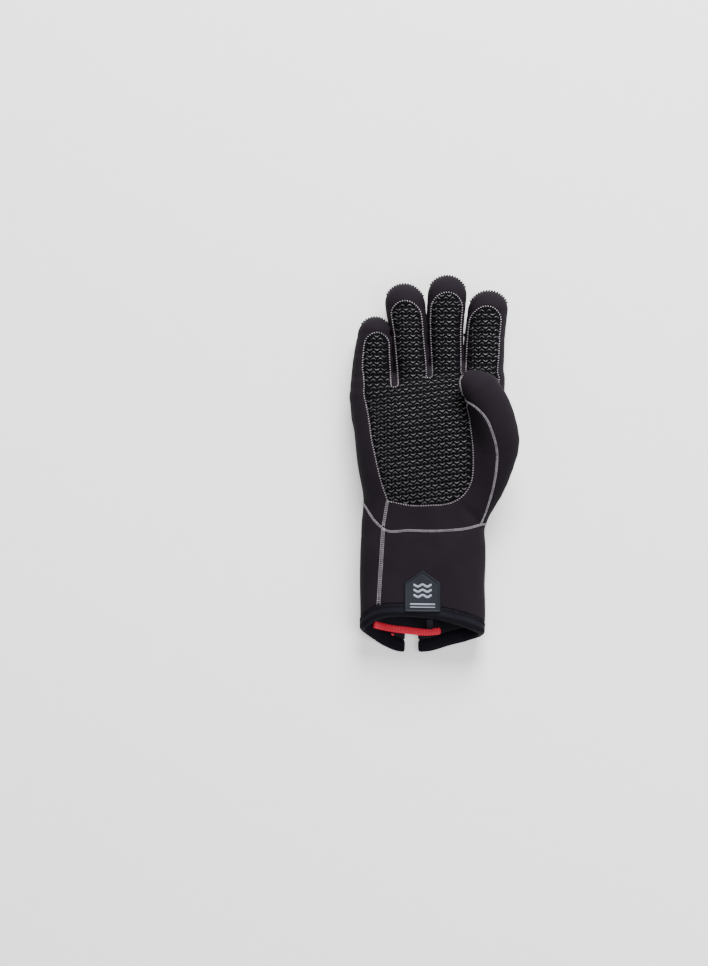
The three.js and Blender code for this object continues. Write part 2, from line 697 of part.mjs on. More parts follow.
function redBinding() {
  const line = new THREE.CatmullRomCurve3(flapLine());
  const shares = Array.from({ length: RED_BINDING_STEPS + 1 }, (_, k) => k / RED_BINDING_STEPS);
  const sections = shares.map((share) => {
    const along = line.getTangent(share);
    const closing = share === 0 || share === 1 ? RED_BINDING_END : 1;
    return {
      middle: line.getPoint(share),
      side: new THREE.Vector3(-along.y, along.x, 0).normalize(),
      lift: new THREE.Vector3(0, 0, 1),
      halfWidth: (RED_BINDING_WIDTH / 2) * closing,
      halfHeight: (RED_BINDING_THICKNESS / 2) * closing,
      squareness: RED_BINDING_SQUARENESS,
    };
  });
  return loft(sections, SMALL_SIDES, 0);
}

// The flap behind the slit: it narrows from the red binding to the slit's top, and keeps to the inside of the cuff.
function flap() {
  const line = flapLine();
  const back = (point) => [point.x, point.y + RED_BINDING_WIDTH / 2 + SEAM_GAP];
  const peakY = HEM_LOWEST + NOTCH_DEPTH + ZIP_LENGTH;
  const outline = [...line.map(back), [SLIT_X + ZIP_WIDTH / 2, peakY], [SLIT_X - ZIP_WIDTH / 2, peakY]];
  return prismOver(outline, 0, WALL + SEAM_GAP + FLAP_THICKNESS).intersect(body(-WALL - SEAM_GAP));
}

// The badge, which follows the cuff's palm side. Its five sides are an upright block with a peak.
function badge() {
  const half = BADGE_WIDTH / 2;
  const lowY = HEM_LOWEST + readEdge(HEM_EDGE, "palm", 0) * CUFF_POINT + BADGE_ABOVE_HEM;
  const shoulderY = lowY + BADGE_HEIGHT - BADGE_PEAK;
  const outline = [
    [CUFF_CENTRE_X - half, lowY],
    [CUFF_CENTRE_X + half, lowY],
    [CUFF_CENTRE_X + half, shoulderY],
    [CUFF_CENTRE_X, lowY + BADGE_HEIGHT],
    [CUFF_CENTRE_X - half, shoulderY],
  ];
  const layer = body(SEAM_GAP + BADGE_THICKNESS).subtract(body(SEAM_GAP));
  return layer.intersect(prismOver(outline, CUFF_HEIGHT / 2, 2 * CUFF_HEIGHT));
}

// The tab that hangs from inside the hem on the palm side down to the red binding.
function tab() {
  const x = CUFF_CENTRE_X + TAB_ACROSS * CUFF_WIDTH;
  const hemY = HEM_LOWEST + readEdge(HEM_EDGE, "palm", (2 * (x - CUFF_CENTRE_X)) / CUFF_WIDTH) * CUFF_POINT;
  const section = bodyAt(hemY);
  const topZ = section.middle.z + section.halfHeight - WALL - 2 * SEAM_GAP;
  const lowZ = innerFloor(x, hemY) + 2 * SEAM_GAP + RED_BINDING_THICKNESS + TAB_CLEARANCE;
  const ring = (y, z) => {
    const corners = [[-1, -1], [1, -1], [1, 1], [-1, 1]];
    return corners.map(
      ([across, along]) => new THREE.Vector3(x + (across * TAB_WIDTH) / 2, y + (along * TAB_THICKNESS) / 2, z),
    );
  };
  const topY = hemY + TAB_THICKNESS;
  return skinOf([ring(topY - TAB_LEAN, lowZ), ring(topY, topZ)]);
}

// The foam of the hand and cuff, then of the whole glove above the wrist, and its parting into panels
const handOuter = handWithFingers(0);
const inside = handWithFingers(-WALL).add(thumb(-WALL));
const wall = handOuter.subtract(inside);

const whole = handOuter.add(thumb(0)).subtract(inside).subtract(pastWrist(0));
const thumbPanel = whole.intersect(thumbZone(SEAM_GAP / 2));
const palmAndBack = whole.subtract(thumbZone(-SEAM_GAP / 2));

const grip = wall.intersect(keystone(gripEdge(), SEAM_GAP));
const aroundGrip = palmAndBack.subtract(keystone(gripEdge(), -SEAM_GAP / 2)).subtract(grip);
const palmPanel = aroundGrip.intersect(palmSide(SEAM_GAP / 2));
const backPanel = aroundGrip.subtract(palmSide(-SEAM_GAP / 2));

// The binding folds over the cuff's edge, which narrows to a tongue inside it
const bindingThickness = (WALL - TONGUE_THICKNESS) / 2 - SEAM_GAP;
const bindingZone = pastHem(BINDING_WIDTH).subtract(pastHem(0));
const bindingHollow = body(-bindingThickness)
  .subtract(body(bindingThickness - WALL))
  .subtract(pastHem(bindingThickness));
const notch = slitSlab(NOTCH_WIDTH, HEM_LOWEST - CUTTER_MARGIN, HEM_LOWEST + NOTCH_DEPTH);
const binding = wall.intersect(bindingZone).subtract(bindingHollow).subtract(notch);

const tongue = body(-bindingThickness - SEAM_GAP)
  .subtract(body(bindingThickness + SEAM_GAP - WALL))
  .intersect(pastHem(BINDING_WIDTH + 2 * SEAM_GAP))
  .subtract(pastHem(bindingThickness + SEAM_GAP));
const cuff = wall
  .intersect(pastWrist(-SEAM_GAP))
  .subtract(pastHem(BINDING_WIDTH + SEAM_GAP))
  .add(tongue)
  .subtract(notch)
  .subtract(slitSlab(ZIP_WIDTH, HEM_LOWEST, HEM_LOWEST + NOTCH_DEPTH + ZIP_LENGTH));
const zipLow = HEM_LOWEST + NOTCH_DEPTH + SEAM_GAP;
const zip = wall.intersect(slitSlab(ZIP_WIDTH - 2 * SEAM_GAP, zipLow, zipLow + ZIP_LENGTH - 2 * SEAM_GAP));

const PIECES = [
  ["grip_panel", grip, RUBBER_PRINT],
  ["palm_panel", palmPanel, CLOTH],
  ["back_panel", backPanel, CLOTH],
  ["thumb_panel", thumbPanel, CLOTH],
  ["cuff_front_panel", cuff.intersect(cuffFront(SEAM_GAP / 2)), CLOTH],
  ["cuff_back_panel", cuff.subtract(cuffFront(-SEAM_GAP / 2)), CLOTH],
  ["hem_binding", binding, BINDING_CLOTH],
  ["cuff_badge", badge(), BADGE_RUBBER],
  ["back_zip", zip, ZIP_PLASTIC],
  ["zip_gusset", flap(), BINDING_CLOTH],
  ["gusset_binding", redBinding(), RED_CLOTH],
  ["inner_tab", tab(), BINDING_CLOTH],
];

const glove = new THREE.Group();
for (const [name, solid, material] of PIECES) glove.add(meshOf(name, mainBody(solid), material));

// The origin is on the floor, below the middle of the glove's box
const reach = new THREE.Box3().setFromObject(glove);
const middle = reach.getCenter(new THREE.Vector3());
glove.position.set(-middle.x, -middle.y, -reach.min.z);

export default glove;
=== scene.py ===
"""A padded diving glove for the right hand, lying on its back with the palm up and the thumb folded over it.

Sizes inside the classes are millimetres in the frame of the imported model, and meshes are made in metres.
The foam panels are level sets of one distance field, cut along the seams. Thread, print and trim lie on it.
"""

import logging
import math
from collections.abc import Callable
from dataclasses import dataclass
from enum import Enum
from itertools import product

import bpy
import numpy as np
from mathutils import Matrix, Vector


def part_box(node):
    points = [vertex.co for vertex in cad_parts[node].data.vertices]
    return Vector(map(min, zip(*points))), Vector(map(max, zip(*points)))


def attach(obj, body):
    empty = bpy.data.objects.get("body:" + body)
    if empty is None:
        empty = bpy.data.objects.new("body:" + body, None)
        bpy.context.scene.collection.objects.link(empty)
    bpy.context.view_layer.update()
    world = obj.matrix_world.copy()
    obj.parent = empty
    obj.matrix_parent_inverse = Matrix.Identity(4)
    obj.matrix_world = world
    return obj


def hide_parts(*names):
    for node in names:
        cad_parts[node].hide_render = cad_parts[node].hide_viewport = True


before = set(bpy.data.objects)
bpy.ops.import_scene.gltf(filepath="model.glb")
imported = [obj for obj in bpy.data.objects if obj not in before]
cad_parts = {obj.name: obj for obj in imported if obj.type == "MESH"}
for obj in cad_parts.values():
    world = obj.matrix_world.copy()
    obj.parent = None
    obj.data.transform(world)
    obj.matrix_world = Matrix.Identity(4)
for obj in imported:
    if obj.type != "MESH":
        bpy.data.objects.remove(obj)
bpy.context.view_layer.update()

LOG = logging.getLogger("glove")
MM = 0.001
PHOTO_SIZE = (708, 966)
Array = np.ndarray
Measure = Callable[[Array, Array, Array], Array]

# How much of its size a tube keeps at its two ends
TUBE_END = 0.02

ACROSS = np.array([1.0, 0.0, 0.0])
UP = np.array([0.0, 0.0, 1.0])


def curve_through(stations: Array, values: Array, at: Array) -> Array:
    """A cubic curve through a row of values, level beyond its ends.

    Args:
        stations: where the values stand, rising.
        values: the values there.
        at: where to read.

    Returns:
        The values read, in the shape of at.
    """
    places = np.asarray(stations, dtype=float)
    known = np.asarray(values, dtype=float)
    slope = np.gradient(known, places)
    x = np.clip(at, places[0], places[-1])
    k = np.clip(np.searchsorted(places, x) - 1, 0, len(places) - 2)
    span = places[k + 1] - places[k]
    t = (x - places[k]) / span
    start = (1 + 2 * t) * (1 - t) ** 2 * known[k] + t * (1 - t) ** 2 * span * slope[k]
    end = t * t * (3 - 2 * t) * known[k + 1] + t * t * (t - 1) * span * slope[k + 1]
    return start + end


def smooth_min(a: Array, b: Array, radius: Array | float) -> Array:
    """The lower of two fields, with their corner filled: min(a, b) less h squared times radius / 4.

    Here h is how near the two are to each other, from 1 where they are equal to 0 a radius apart.

    Args:
        a: one field.
        b: the other field.
        radius: how far the fill reaches, in millimetres.

    Returns:
        The blended field.
    """
    near = np.maximum(radius - np.abs(a - b), 0) / radius
    return np.minimum(a, b) - near * near * radius / 4


def smooth_max(a: Array, b: Array, radius: Array | float) -> Array:
    """The higher of two fields, with their corner rounded over the radius."""
    return -smooth_min(-a, -b, radius)


def step(low: float, high: float, x: Array) -> Array:
    """A smooth step from 0 at low to 1 at high: 3 t squared less 2 t cubed."""
    t = np.clip((x - low) / (high - low), 0, 1)
    return t * t * (3 - 2 * t)


def unit(vectors: Array) -> Array:
    """Vectors scaled to length 1."""
    return vectors / np.maximum(np.linalg.norm(vectors, axis=-1, keepdims=True), 1e-12)


def bell(x: Array, width: float) -> Array:
    """A bell curve, 1 at 0: e to the power of minus the square of x over the width."""
    return np.exp(-((x / width) ** 2))


def arc_lengths(points: Array) -> Array:
    """How far along a line each of its points lies."""
    return np.concatenate([[0], np.cumsum(np.linalg.norm(np.diff(points, axis=0), axis=1))])


@dataclass(frozen=True)
class HandRow:
    """One section of the hand, in shares of its length, width and height."""

    along: float
    left: float
    right: float
    top: float
    slant: float


@dataclass(frozen=True)
class CuffRow:
    """One section of the cuff, in shares of its length, width and height."""

    along: float
    left: float
    right: float
    top: float


@dataclass(frozen=True)
class Finger:
    """A finger's length in millimetres, its crotch line and its middle line and width at the four stations.

    The grip's stripe on it runs from grip_left to grip_right in half widths and ends at grip_end along it.
    """

    length: float
    base: float
    across: tuple[float, float, float, float]
    width: tuple[float, float, float, float]
    grip_left: float
    grip_right: float
    grip_end: float


@dataclass(frozen=True)
class ThumbRow:
    """A point of the thumb's bent middle line and the thumb's girth there."""

    out: float
    up: float
    rise: float
    girth: float


@dataclass(frozen=True)
class EdgeRow:
    """A point of an edge that runs round the glove, on its palm side and its back."""

    across: float
    palm: float
    back: float


@dataclass(frozen=True)
class SeamRow:
    """A point of a seam on the palm, in shares of the hand's width and length."""

    across: float
    along: float


HAND_ROWS = (
    HandRow(0.0, -0.43, 0.372, 0.85, 0),
    HandRow(0.18, -0.421, 0.416, 0.92, 0),
    HandRow(0.36, -0.45, 0.449, 0.98, 0),
    HandRow(0.54, -0.475, 0.475, 1.0, 0),
    HandRow(0.72, -0.491, 0.494, 0.97, 0.03),
    HandRow(0.87, -0.496, 0.5, 0.88, 0.09),
    HandRow(0.95, -0.49, 0.485, 0.8, 0.12),
    HandRow(1.0, -0.45, 0.45, 0.66, 0.15),
)
CUFF_ROWS = (
    CuffRow(1.25, -0.49, 0.475, 0.93),
    CuffRow(0.8, -0.502, 0.498, 0.97),
    CuffRow(0.5, -0.503, 0.507, 1.0),
    CuffRow(0.15, -0.494, 0.507, 1.0),
)

# From the little finger to the index
FINGERS = (
    Finger(54, 0.97, (-0.361, -0.359, -0.345, -0.338), (0.287, 0.258, 0.218, 0.202), -0.5, 0.84, 0.81),
    Finger(79, 0.985, (-0.1, -0.1195, -0.147, -0.15), (0.246, 0.25, 0.264, 0.254), -0.77, 0.745, 0.845),
    Finger(84, 1.0, (0.1235, 0.1165, 0.1295, 0.13), (0.228, 0.241, 0.253, 0.25), -0.8, 0.84, 0.855),
    Finger(70.3, 1.01, (0.3635, 0.3785, 0.399, 0.411), (0.264, 0.271, 0.261, 0.248), -0.84, 0.72, 0.845),
)
FINGER_STATIONS = (0.3, 0.58, 0.85, 1.0)
FINGER_HEIGHTS = (1.06, 1.0, 0.93, 0.88)
JOINT_CREASES = ((0.36, 0.5), (0.6, 0.75), (0.8, 0.55))
THUMB_ROWS = (
    ThumbRow(-0.36, 0.0, 0.36, 0.6),
    ThumbRow(-0.09, 0.114, 0.48, 0.78),
    ThumbRow(0.16, 0.264, 0.6, 0.93),
    ThumbRow(0.345, 0.413, 0.74, 1.0),
    ThumbRow(0.333, 0.531, 0.86, 1.0),
    ThumbRow(0.164, 0.672, 0.95, 0.97),
    ThumbRow(-0.05, 0.781, 1.0, 0.9),
    ThumbRow(-0.263, 0.82, 0.99, 0.69),
)
WRIST_EDGE = (
    EdgeRow(-1.0, 0.93, 0.93),
    EdgeRow(-0.82, 0.43, 0.75),
    EdgeRow(-0.62, 0.1, 0.5),
    EdgeRow(-0.25, 0.065, 0.3),
    EdgeRow(0.3, 0.055, 0.3),
    EdgeRow(0.75, 0.165, 0.33),
    EdgeRow(1.0, 0.34, 0.34),
)
HEM_EDGE = (
    EdgeRow(-1.0, 0.6, 0.6),
    EdgeRow(-0.8, 0.82, 0.37),
    EdgeRow(-0.5, 0.91, 0.04),
    EdgeRow(-0.15, 0.89, 0.0),
    EdgeRow(0.2, 0.84, 0.03),
    EdgeRow(0.6, 0.68, 0.24),
    EdgeRow(1.0, 0.44, 0.45),
)
GRIP_RIGHT = (
    SeamRow(0.265, 0.1),
    SeamRow(0.295, 0.33),
    SeamRow(0.295, 0.5),
    SeamRow(0.272, 0.7),
    SeamRow(0.262, 0.8),
    SeamRow(0.3, 0.86),
    SeamRow(0.44, 0.93),
    SeamRow(0.46, 1.05),
)
GRIP_LEFT = (
    SeamRow(-0.262, 0.1),
    SeamRow(-0.265, 0.15),
    SeamRow(-0.3, 0.26),
    SeamRow(-0.345, 0.45),
    SeamRow(-0.385, 0.66),
    SeamRow(-0.41, 0.87),
    SeamRow(-0.424, 1.05),
)
GRIP_BOTTOM = (
    SeamRow(-0.4, 0.16),
    SeamRow(-0.265, 0.15),
    SeamRow(-0.12, 0.12),
    SeamRow(0.05, 0.12),
    SeamRow(0.3, 0.13),
)
GRIP_TOP = (
    SeamRow(-0.45, 0.9),
    SeamRow(-0.214, 0.913),
    SeamRow(0.022, 0.98),
    SeamRow(0.216, 1.0),
    SeamRow(0.5, 1.0),
)
THUMB_SEAM = (
    SeamRow(0.306, -0.08),
    SeamRow(0.388, 0.11),
    SeamRow(0.428, 0.24),
    SeamRow(0.447, 0.35),
    SeamRow(0.451, 0.46),
    SeamRow(0.42, 0.58),
    SeamRow(0.37, 0.685),
    SeamRow(0.312, 0.747),
    SeamRow(0.268, 0.782),
    SeamRow(0.224, 0.856),
    SeamRow(0.211, 0.905),
    SeamRow(0.214, 0.94),
    SeamRow(0.23, 0.97),
)


@dataclass
class Readings:
    """What the form reads at some points. Distances and depths are negative inside or on the named side."""

    outside: Array
    bare: Array
    palm_body: Array
    thumb_body: Array
    grip: Array
    thumb: Array
    palm: Array
    hand_side: Array
    cuff_front: Array
    above_hem: Array
    slit: Array
    notch: Array
    height: Array


@dataclass(frozen=True)
class GloveForm:
    """The glove's shape as fields over space, from the same named sizes and tables as the solids."""

    wall: float = 4.0
    seam_gap: float = 0.3
    hand_length: float = 121.5
    hand_width: float = 122.0
    hand_height: float = 44.0
    wrist_dip: float = 28.0
    wrist_low_share: float = 0.25
    cuff_length: float = 98.0
    cuff_width: float = 99.0
    cuff_height: float = 37.0
    cuff_point: float = 26.0
    finger_height: float = 30.0
    finger_curl: float = 5.0
    finger_root: float = 26.0
    root_girth: float = 0.84
    thumb_length: float = 128.0
    thumb_width: float = 33.0
    thumb_height: float = 29.0
    thumb_rise: float = 50.0
    notch_width: float = 10.4
    notch_depth: float = 14.7
    zip_width: float = 8.0
    zip_length: float = 58.0
    binding_width: float = 10.0
    binding_proud: float = 0.45
    pressed_share: float = 0.07
    wrist_y: float = -54.0
    hand_x: float = -5.83
    cuff_x: float = -10.23
    thumb_x: float = 38.67
    thumb_y: float = -47.5
    slit_across: float = -0.086
    side_seam: float = 14.08
    fork_y: float = 44.0
    palm_seam_wrist: float = -0.29
    palm_seam_heel: float = -0.264
    heel_along: float = 0.15
    cuff_seam_slant: float = 0.05
    thumb_side_y: float = -10.3
    palm_side_y: float = 46.8
    web_wrist: float = 8.0
    web_palm: float = 15.0
    web_tip: float = 2.0
    hand_squareness: float = 2.45
    hand_dome: float = 8.0
    finger_squareness: float = 2.3
    finger_root_dome: float = 14.0
    finger_web: float = 7.0
    floor_round: float = 1.5
    heel_round: float = 26.0
    stripe_round: float = 3.0
    seam_round: float = 1.3
    wall_round: float = 0.6
    hem_round: float = 3.2
    slit_height: float = 12.0

    @property
    def hem_y(self) -> float:
        """Where the lowest point of the cuff's back lies."""
        return self.wrist_y - self.cuff_length

    @property
    def slit_x(self) -> float:
        """The middle of the slit."""
        return self.cuff_x + self.slit_across * self.cuff_width

    @property
    def slit_top(self) -> float:
        """How far up the cuff's back the slit runs."""
        return self.hem_y + self.notch_depth + self.zip_length

    @property
    def heel_y(self) -> float:
        """Where the palm's seam meets the grip's heel."""
        return self.wrist_y + self.heel_along * self.hand_length

    def outside(self, x: Array, y: Array, z: Array) -> Array:
        """The glove's outside as a field."""
        return self.read(x, y, z).outside

    def hand_at(self, row: SeamRow) -> tuple[float, float]:
        """The place of a seam row over the palm."""
        return self.hand_x + row.across * self.hand_width, self.wrist_y + row.along * self.hand_length

    def seam_places(self, rows: tuple[SeamRow, ...]) -> tuple[Array, Array]:
        """The x and y of a row of seam points."""
        places = np.array([self.hand_at(row) for row in rows])
        return places[:, 0], places[:, 1]

    def off_line(self, rows: tuple[SeamRow, ...], x: Array, y: Array) -> Array:
        """How far right of a seam up the palm a point lies: the step across over the line's own slant."""
        line_x, line_y = self.seam_places(rows)
        slant = curve_through(line_y, line_x, y + 0.5) - curve_through(line_y, line_x, y - 0.5)
        return (x - curve_through(line_y, line_x, y)) / np.sqrt(1 + slant * slant)

    def palm_seam_x(self, y: Array) -> Array:
        """Where the palm's seam on the little finger's side runs between the wrist and the heel."""
        rise = np.clip((y - self.wrist_y) / (self.heel_y - self.wrist_y), 0, 2)
        share = np.interp(rise, (0, 1, 2), (self.palm_seam_wrist, self.palm_seam_heel, 0.0))
        return self.hand_x + self.hand_width * share

    def cuff_seam_x(self, y: Array) -> Array:
        """Where the cuff's side seam runs below the wrist."""
        drop = (y - self.wrist_y) / self.cuff_length
        return self.hand_x + self.hand_width * (self.palm_seam_wrist + self.cuff_seam_slant * drop)

    def body_rows(self) -> Array:
        """The cuff's and the hand's sections: place along, left, right, top and slant."""
        cuff = [(self.wrist_y - row.along * self.cuff_length, self.cuff_x + row.left * self.cuff_width,
                 self.cuff_x + row.right * self.cuff_width, row.top * self.cuff_height, 0.0) for row in CUFF_ROWS]
        hand = [(self.wrist_y + row.along * self.hand_length, self.hand_x + row.left * self.hand_width,
                 self.hand_x + row.right * self.hand_width, row.top * self.hand_height, row.slant)
                for row in HAND_ROWS]
        return np.array(cuff + hand)

    def oval(self, u: Array, v: Array, over: Array, half: tuple[Array, Array],
             squareness: float) -> tuple[Array, Array]:
        """Distance to a rounded oblong ring, domed at its end.

        With r the length of (u, v) in the ring's own power norm and s how far past the end the point lies, the
        distance is (length of (r, s) less 1) over the size of that length's slope.

        Args:
            u: place across, in half widths.
            v: place up, in half heights.
            over: how far past the end, in dome lengths, 0 before it.
            half: half width and half height.
            squareness: the power of the norm.

        Returns:
            The distance, and the place across as a share of the ring there.
        """
        r = (np.abs(u) ** squareness + np.abs(v) ** squareness) ** (1 / squareness) + 1e-6
        a, b = np.abs(u) / r, np.abs(v) / r
        slope = np.sqrt((a ** (squareness - 1) / half[0]) ** 2 + (b ** (squareness - 1) / half[1]) ** 2)
        length = np.sqrt(r * r + over * over)
        return (length - 1) / slope, np.clip(u / r, -1, 1)

    def hand(self, x: Array, y: Array, z: Array) -> tuple[Array, Array, Array, Array]:
        """The hand and cuff as one body: an oval at every place along, whose edges are cubic through the tables.

        Args:
            x: across.
            y: along.
            z: up.

        Returns:
            Distance, share across, height above the ring's middle in half heights, and place across. The place is
            the point's own outside the wall, and in it the one on the surface that the point lies behind.
        """
        stations, lefts, rights, tops, slants = self.body_rows().T
        middle = (curve_through(stations, lefts, y) + curve_through(stations, rights, y)) / 2
        turned = y - curve_through(stations, slants, y) * (x - middle)
        left = curve_through(stations, lefts, turned)
        right = curve_through(stations, rights, turned)
        top = curve_through(stations, tops, turned)
        half_width = (right - left) / 2
        half_height = top * (1 + self.pressed_share) / 2
        u = (x - (left + right) / 2) / half_width
        v = (z - top * (1 - self.pressed_share) / 2) / half_height
        over = np.maximum(turned - stations[-1], 0) / self.hand_dome
        distance, share = self.oval(u, v, over, (half_width, half_height), self.hand_squareness)
        place = (left + right) / 2 + half_width * np.where(distance > 0, u, share)
        return distance, share, v + 0 * distance, place

    def finger_run(self, finger: Finger) -> tuple[float, float, float]:
        """Where a finger starts inside the hand, how far it reaches from there, and its dome's length."""
        root = self.wrist_y + finger.base * self.hand_length - self.finger_root
        return root, self.finger_root + finger.length, finger.width[2] * self.hand_width / 2

    def finger_middle(self, finger: Finger, share: Array) -> Array:
        """The x of a finger's middle line at shares along it."""
        return self.hand_x + curve_through(FINGER_STATIONS, finger.across, share) * self.hand_width

    def finger_half(self, finger: Finger, share: Array) -> Array:
        """A finger's half width at shares along it."""
        return curve_through(FINGER_STATIONS, finger.width, share) * self.hand_width / 2

    def finger_tall(self, share: Array) -> Array:
        """The height of a finger's oval at shares along it."""
        return curve_through(FINGER_STATIONS, FINGER_HEIGHTS, share) * self.finger_height

    def finger_level(self, share: Array) -> Array:
        """How high the middle of a finger's oval lies: pressed into the floor, and raised by its curl."""
        return self.finger_tall(share) * (1 - self.pressed_share) / 2 + self.finger_curl * share**2

    def finger(self, finger: Finger, x: Array, y: Array, z: Array) -> tuple[Array, Array, Array, Array]:
        """A finger: an oval at every place along it, domed at the tip.

        Args:
            finger: which one.
            x: across.
            y: along.
            z: up.

        Returns:
            Distance, share across as on the surface in front of the point, height in half heights, and share along.
        """
        root, reach, dome = self.finger_run(finger)
        share = (y - root) / reach
        held = np.clip(share, 0, 1)
        girth = self.root_girth + (1 - self.root_girth) * step(0, FINGER_STATIONS[0], share)
        half_width = self.finger_half(finger, held) * girth
        half_height = self.finger_tall(held) * (1 + self.pressed_share) / 2 * girth
        over = np.maximum(share - 1 + dome / reach, 0) * reach / dome
        over = over + np.maximum(-share, 0) * reach / self.finger_root_dome
        u = (x - self.finger_middle(finger, held)) / half_width
        v = (z - self.finger_level(held)) / half_height
        distance, across = self.oval(u, v, over, (half_width, half_height), self.finger_squareness)
        across = np.where(distance > 0, np.clip(u, -1.6, 1.6), across)
        return distance, across, v + 0 * distance, share + 0 * distance

    def thumb_line(self, count: int = 15) -> tuple[Array, Array]:
        """Points of the thumb's middle line and its half widths there, cubic through the table."""
        rows = np.array([
            (self.thumb_x + row.out * self.thumb_width, self.thumb_y + row.up * self.thumb_length,
             row.rise * self.thumb_rise, row.girth * self.thumb_width / 2) for row in THUMB_ROWS
        ])
        stations = np.arange(len(rows), dtype=float)
        at = np.linspace(0, len(rows) - 1, count)
        points = np.stack([curve_through(stations, rows[:, k], at) for k in range(4)], axis=1)
        return points[:, :3], points[:, 3]

    def thumb_body(self, x: Array, y: Array, z: Array) -> Array:
        """Distance to the thumb: the least of round cones between neighbouring points of its middle line."""
        points, radii = self.thumb_line()
        flat = self.thumb_width / self.thumb_height
        best = np.full(np.broadcast(x, y, z).shape, 1e3)
        for k in range(len(points) - 1):
            a, b = points[k] * (1, 1, flat), points[k + 1] * (1, 1, flat)
            run = b - a
            px, py, pz = x - a[0], y - a[1], z * flat - a[2]
            t = np.clip((px * run[0] + py * run[1] + pz * run[2]) / np.dot(run, run), 0, 1)
            gap = np.sqrt((px - t * run[0]) ** 2 + (py - t * run[1]) ** 2 + (pz - t * run[2]) ** 2)
            best = np.minimum(best, gap - radii[k] - t * (radii[k + 1] - radii[k]))
        return best

    def relief(self, x: Array, y: Array, z: Array, shares: list[Array]) -> Array:
        """How far the foam stands out or sinks in: joint creases, a hollow palm, and slow waves over the cloth.

        Each crease is a bell curve along its finger with a wider swell round it; the waves are sines of slanted
        places with wavelengths from 30 to 90 mm.
        """
        creases = 0.0 * x * y * z
        on_palm = step(10, 20, z)
        for finger, along in zip(FINGERS, shares):
            reach = self.finger_run(finger)[1]
            middle = self.finger_middle(finger, np.clip(along, 0, 1))
            near = np.exp(-(((x - middle) / 15) ** 4)) * on_palm * (along > 0.2)
            for place, depth in JOINT_CREASES:
                gap = (along - place) * reach
                creases = creases - near * depth * (bell(gap, 2.2) - 0.5 * bell(gap, 7))
        hollow = -2.2 * bell(x + 8, 30) * bell(y - 4, 34) * on_palm
        heel = 1.3 * bell(x + 38, 17) * bell(y + 18, 26) * on_palm
        fold = -0.9 * bell((x - 30) * 0.7 + (y + 47) * 0.72, 3.2) * bell((x - 30) - (y + 47), 22)
        waves = 0.45 * np.sin(x / 9.1 + y / 21 + 0.6) * np.sin(y / 13.3 - x / 37 + 1.1)
        waves = waves + 0.3 * np.sin(x / 4.9 - y / 31) * np.sin(y / 9.7 + 0.4)
        on_cuff = 1 - step(-75, -58, y)
        sag = on_cuff * (0.8 * np.sin(x / 11.5 + 0.9 + y / 60) - 0.9 * bell(y + 100, 16) * on_palm)
        return creases + (hollow + heel + fold * on_palm + waves + sag) * step(3, 9, z)

    def edge(self, rows: tuple[EdgeRow, ...], lowest: float, depth: float, share: Array, up: Array) -> Array:
        """Where an edge that runs round the glove lies along it, at a share across on its palm side or back."""
        across = [row.across for row in rows]
        palm = curve_through(across, [row.palm for row in rows], share)
        back = curve_through(across, [row.back for row in rows], share)
        return lowest + depth * (back + (palm - back) * step(-0.15, 0.15, up))

    def wrist_line(self, share: Array, up: Array) -> Array:
        """Where the seam between hand and cuff lies along the glove."""
        lowest = self.wrist_y - self.wrist_low_share * self.wrist_dip
        return self.edge(WRIST_EDGE, lowest, self.wrist_dip, share, up)

    def hem_line(self, share: Array, up: Array) -> Array:
        """Where the hem lies along the glove."""
        return self.edge(HEM_EDGE, self.hem_y, self.cuff_point, share, up)

    def grip_zone(self, place: Array, x: Array, y: Array, z: Array, fingers: list[tuple[Array, ...]]) -> Array:
        """Depth inside the grip's outline: the palm between its edges, joined to a round-ended stripe a finger.

        Args:
            place: where across the hand the point lies on its surface.
            x: across.
            y: along.
            z: up.
            fingers: each finger's readings.

        Returns:
            The field, negative inside.
        """
        left_x, left_y = self.seam_places(GRIP_LEFT)
        low_x, low_y = self.seam_places(GRIP_BOTTOM)
        top_x, top_y = self.seam_places(GRIP_TOP)
        right = self.off_line(GRIP_RIGHT, x, y)
        left = curve_through(left_y, left_x, y) - place
        low = curve_through(low_x, low_y, x) - y
        top = y - curve_through(top_x, top_y, place)
        zone = np.maximum(smooth_max(right, low, self.heel_round), np.maximum(left, top))
        little_edge = left - 12 * step(70, 84, y)
        for finger, (_, across, _, share) in zip(FINGERS, fingers):
            _, reach, width = self.finger_run(finger)
            middle = (finger.grip_left + finger.grip_right) / 2
            half = (finger.grip_right - finger.grip_left) / 2
            start = finger.grip_end - half * width / reach
            past = np.maximum(share - start, 0) / (finger.grip_end - start)
            out = (across - middle) / half
            stripe = (np.sqrt(out**2 + past**2) - 1) * half * width
            stripe = np.maximum(stripe, top_y[1] - 9 - y)
            if finger is FINGERS[0]:
                stripe = np.maximum(stripe, little_edge)
            zone = smooth_min(zone, stripe, self.stripe_round)
        return np.maximum(zone, self.side_seam - z)

    def grip_surface(self, x: Array, y: Array, z: Array) -> Array:
        """The outside that carries the grip: the glove's below the fork, the hand's without its thumb above."""
        r = self.read(x, y, z)
        return np.where(y < self.fork_y, r.outside, np.maximum(r.palm_body - (r.bare - r.outside), -z))

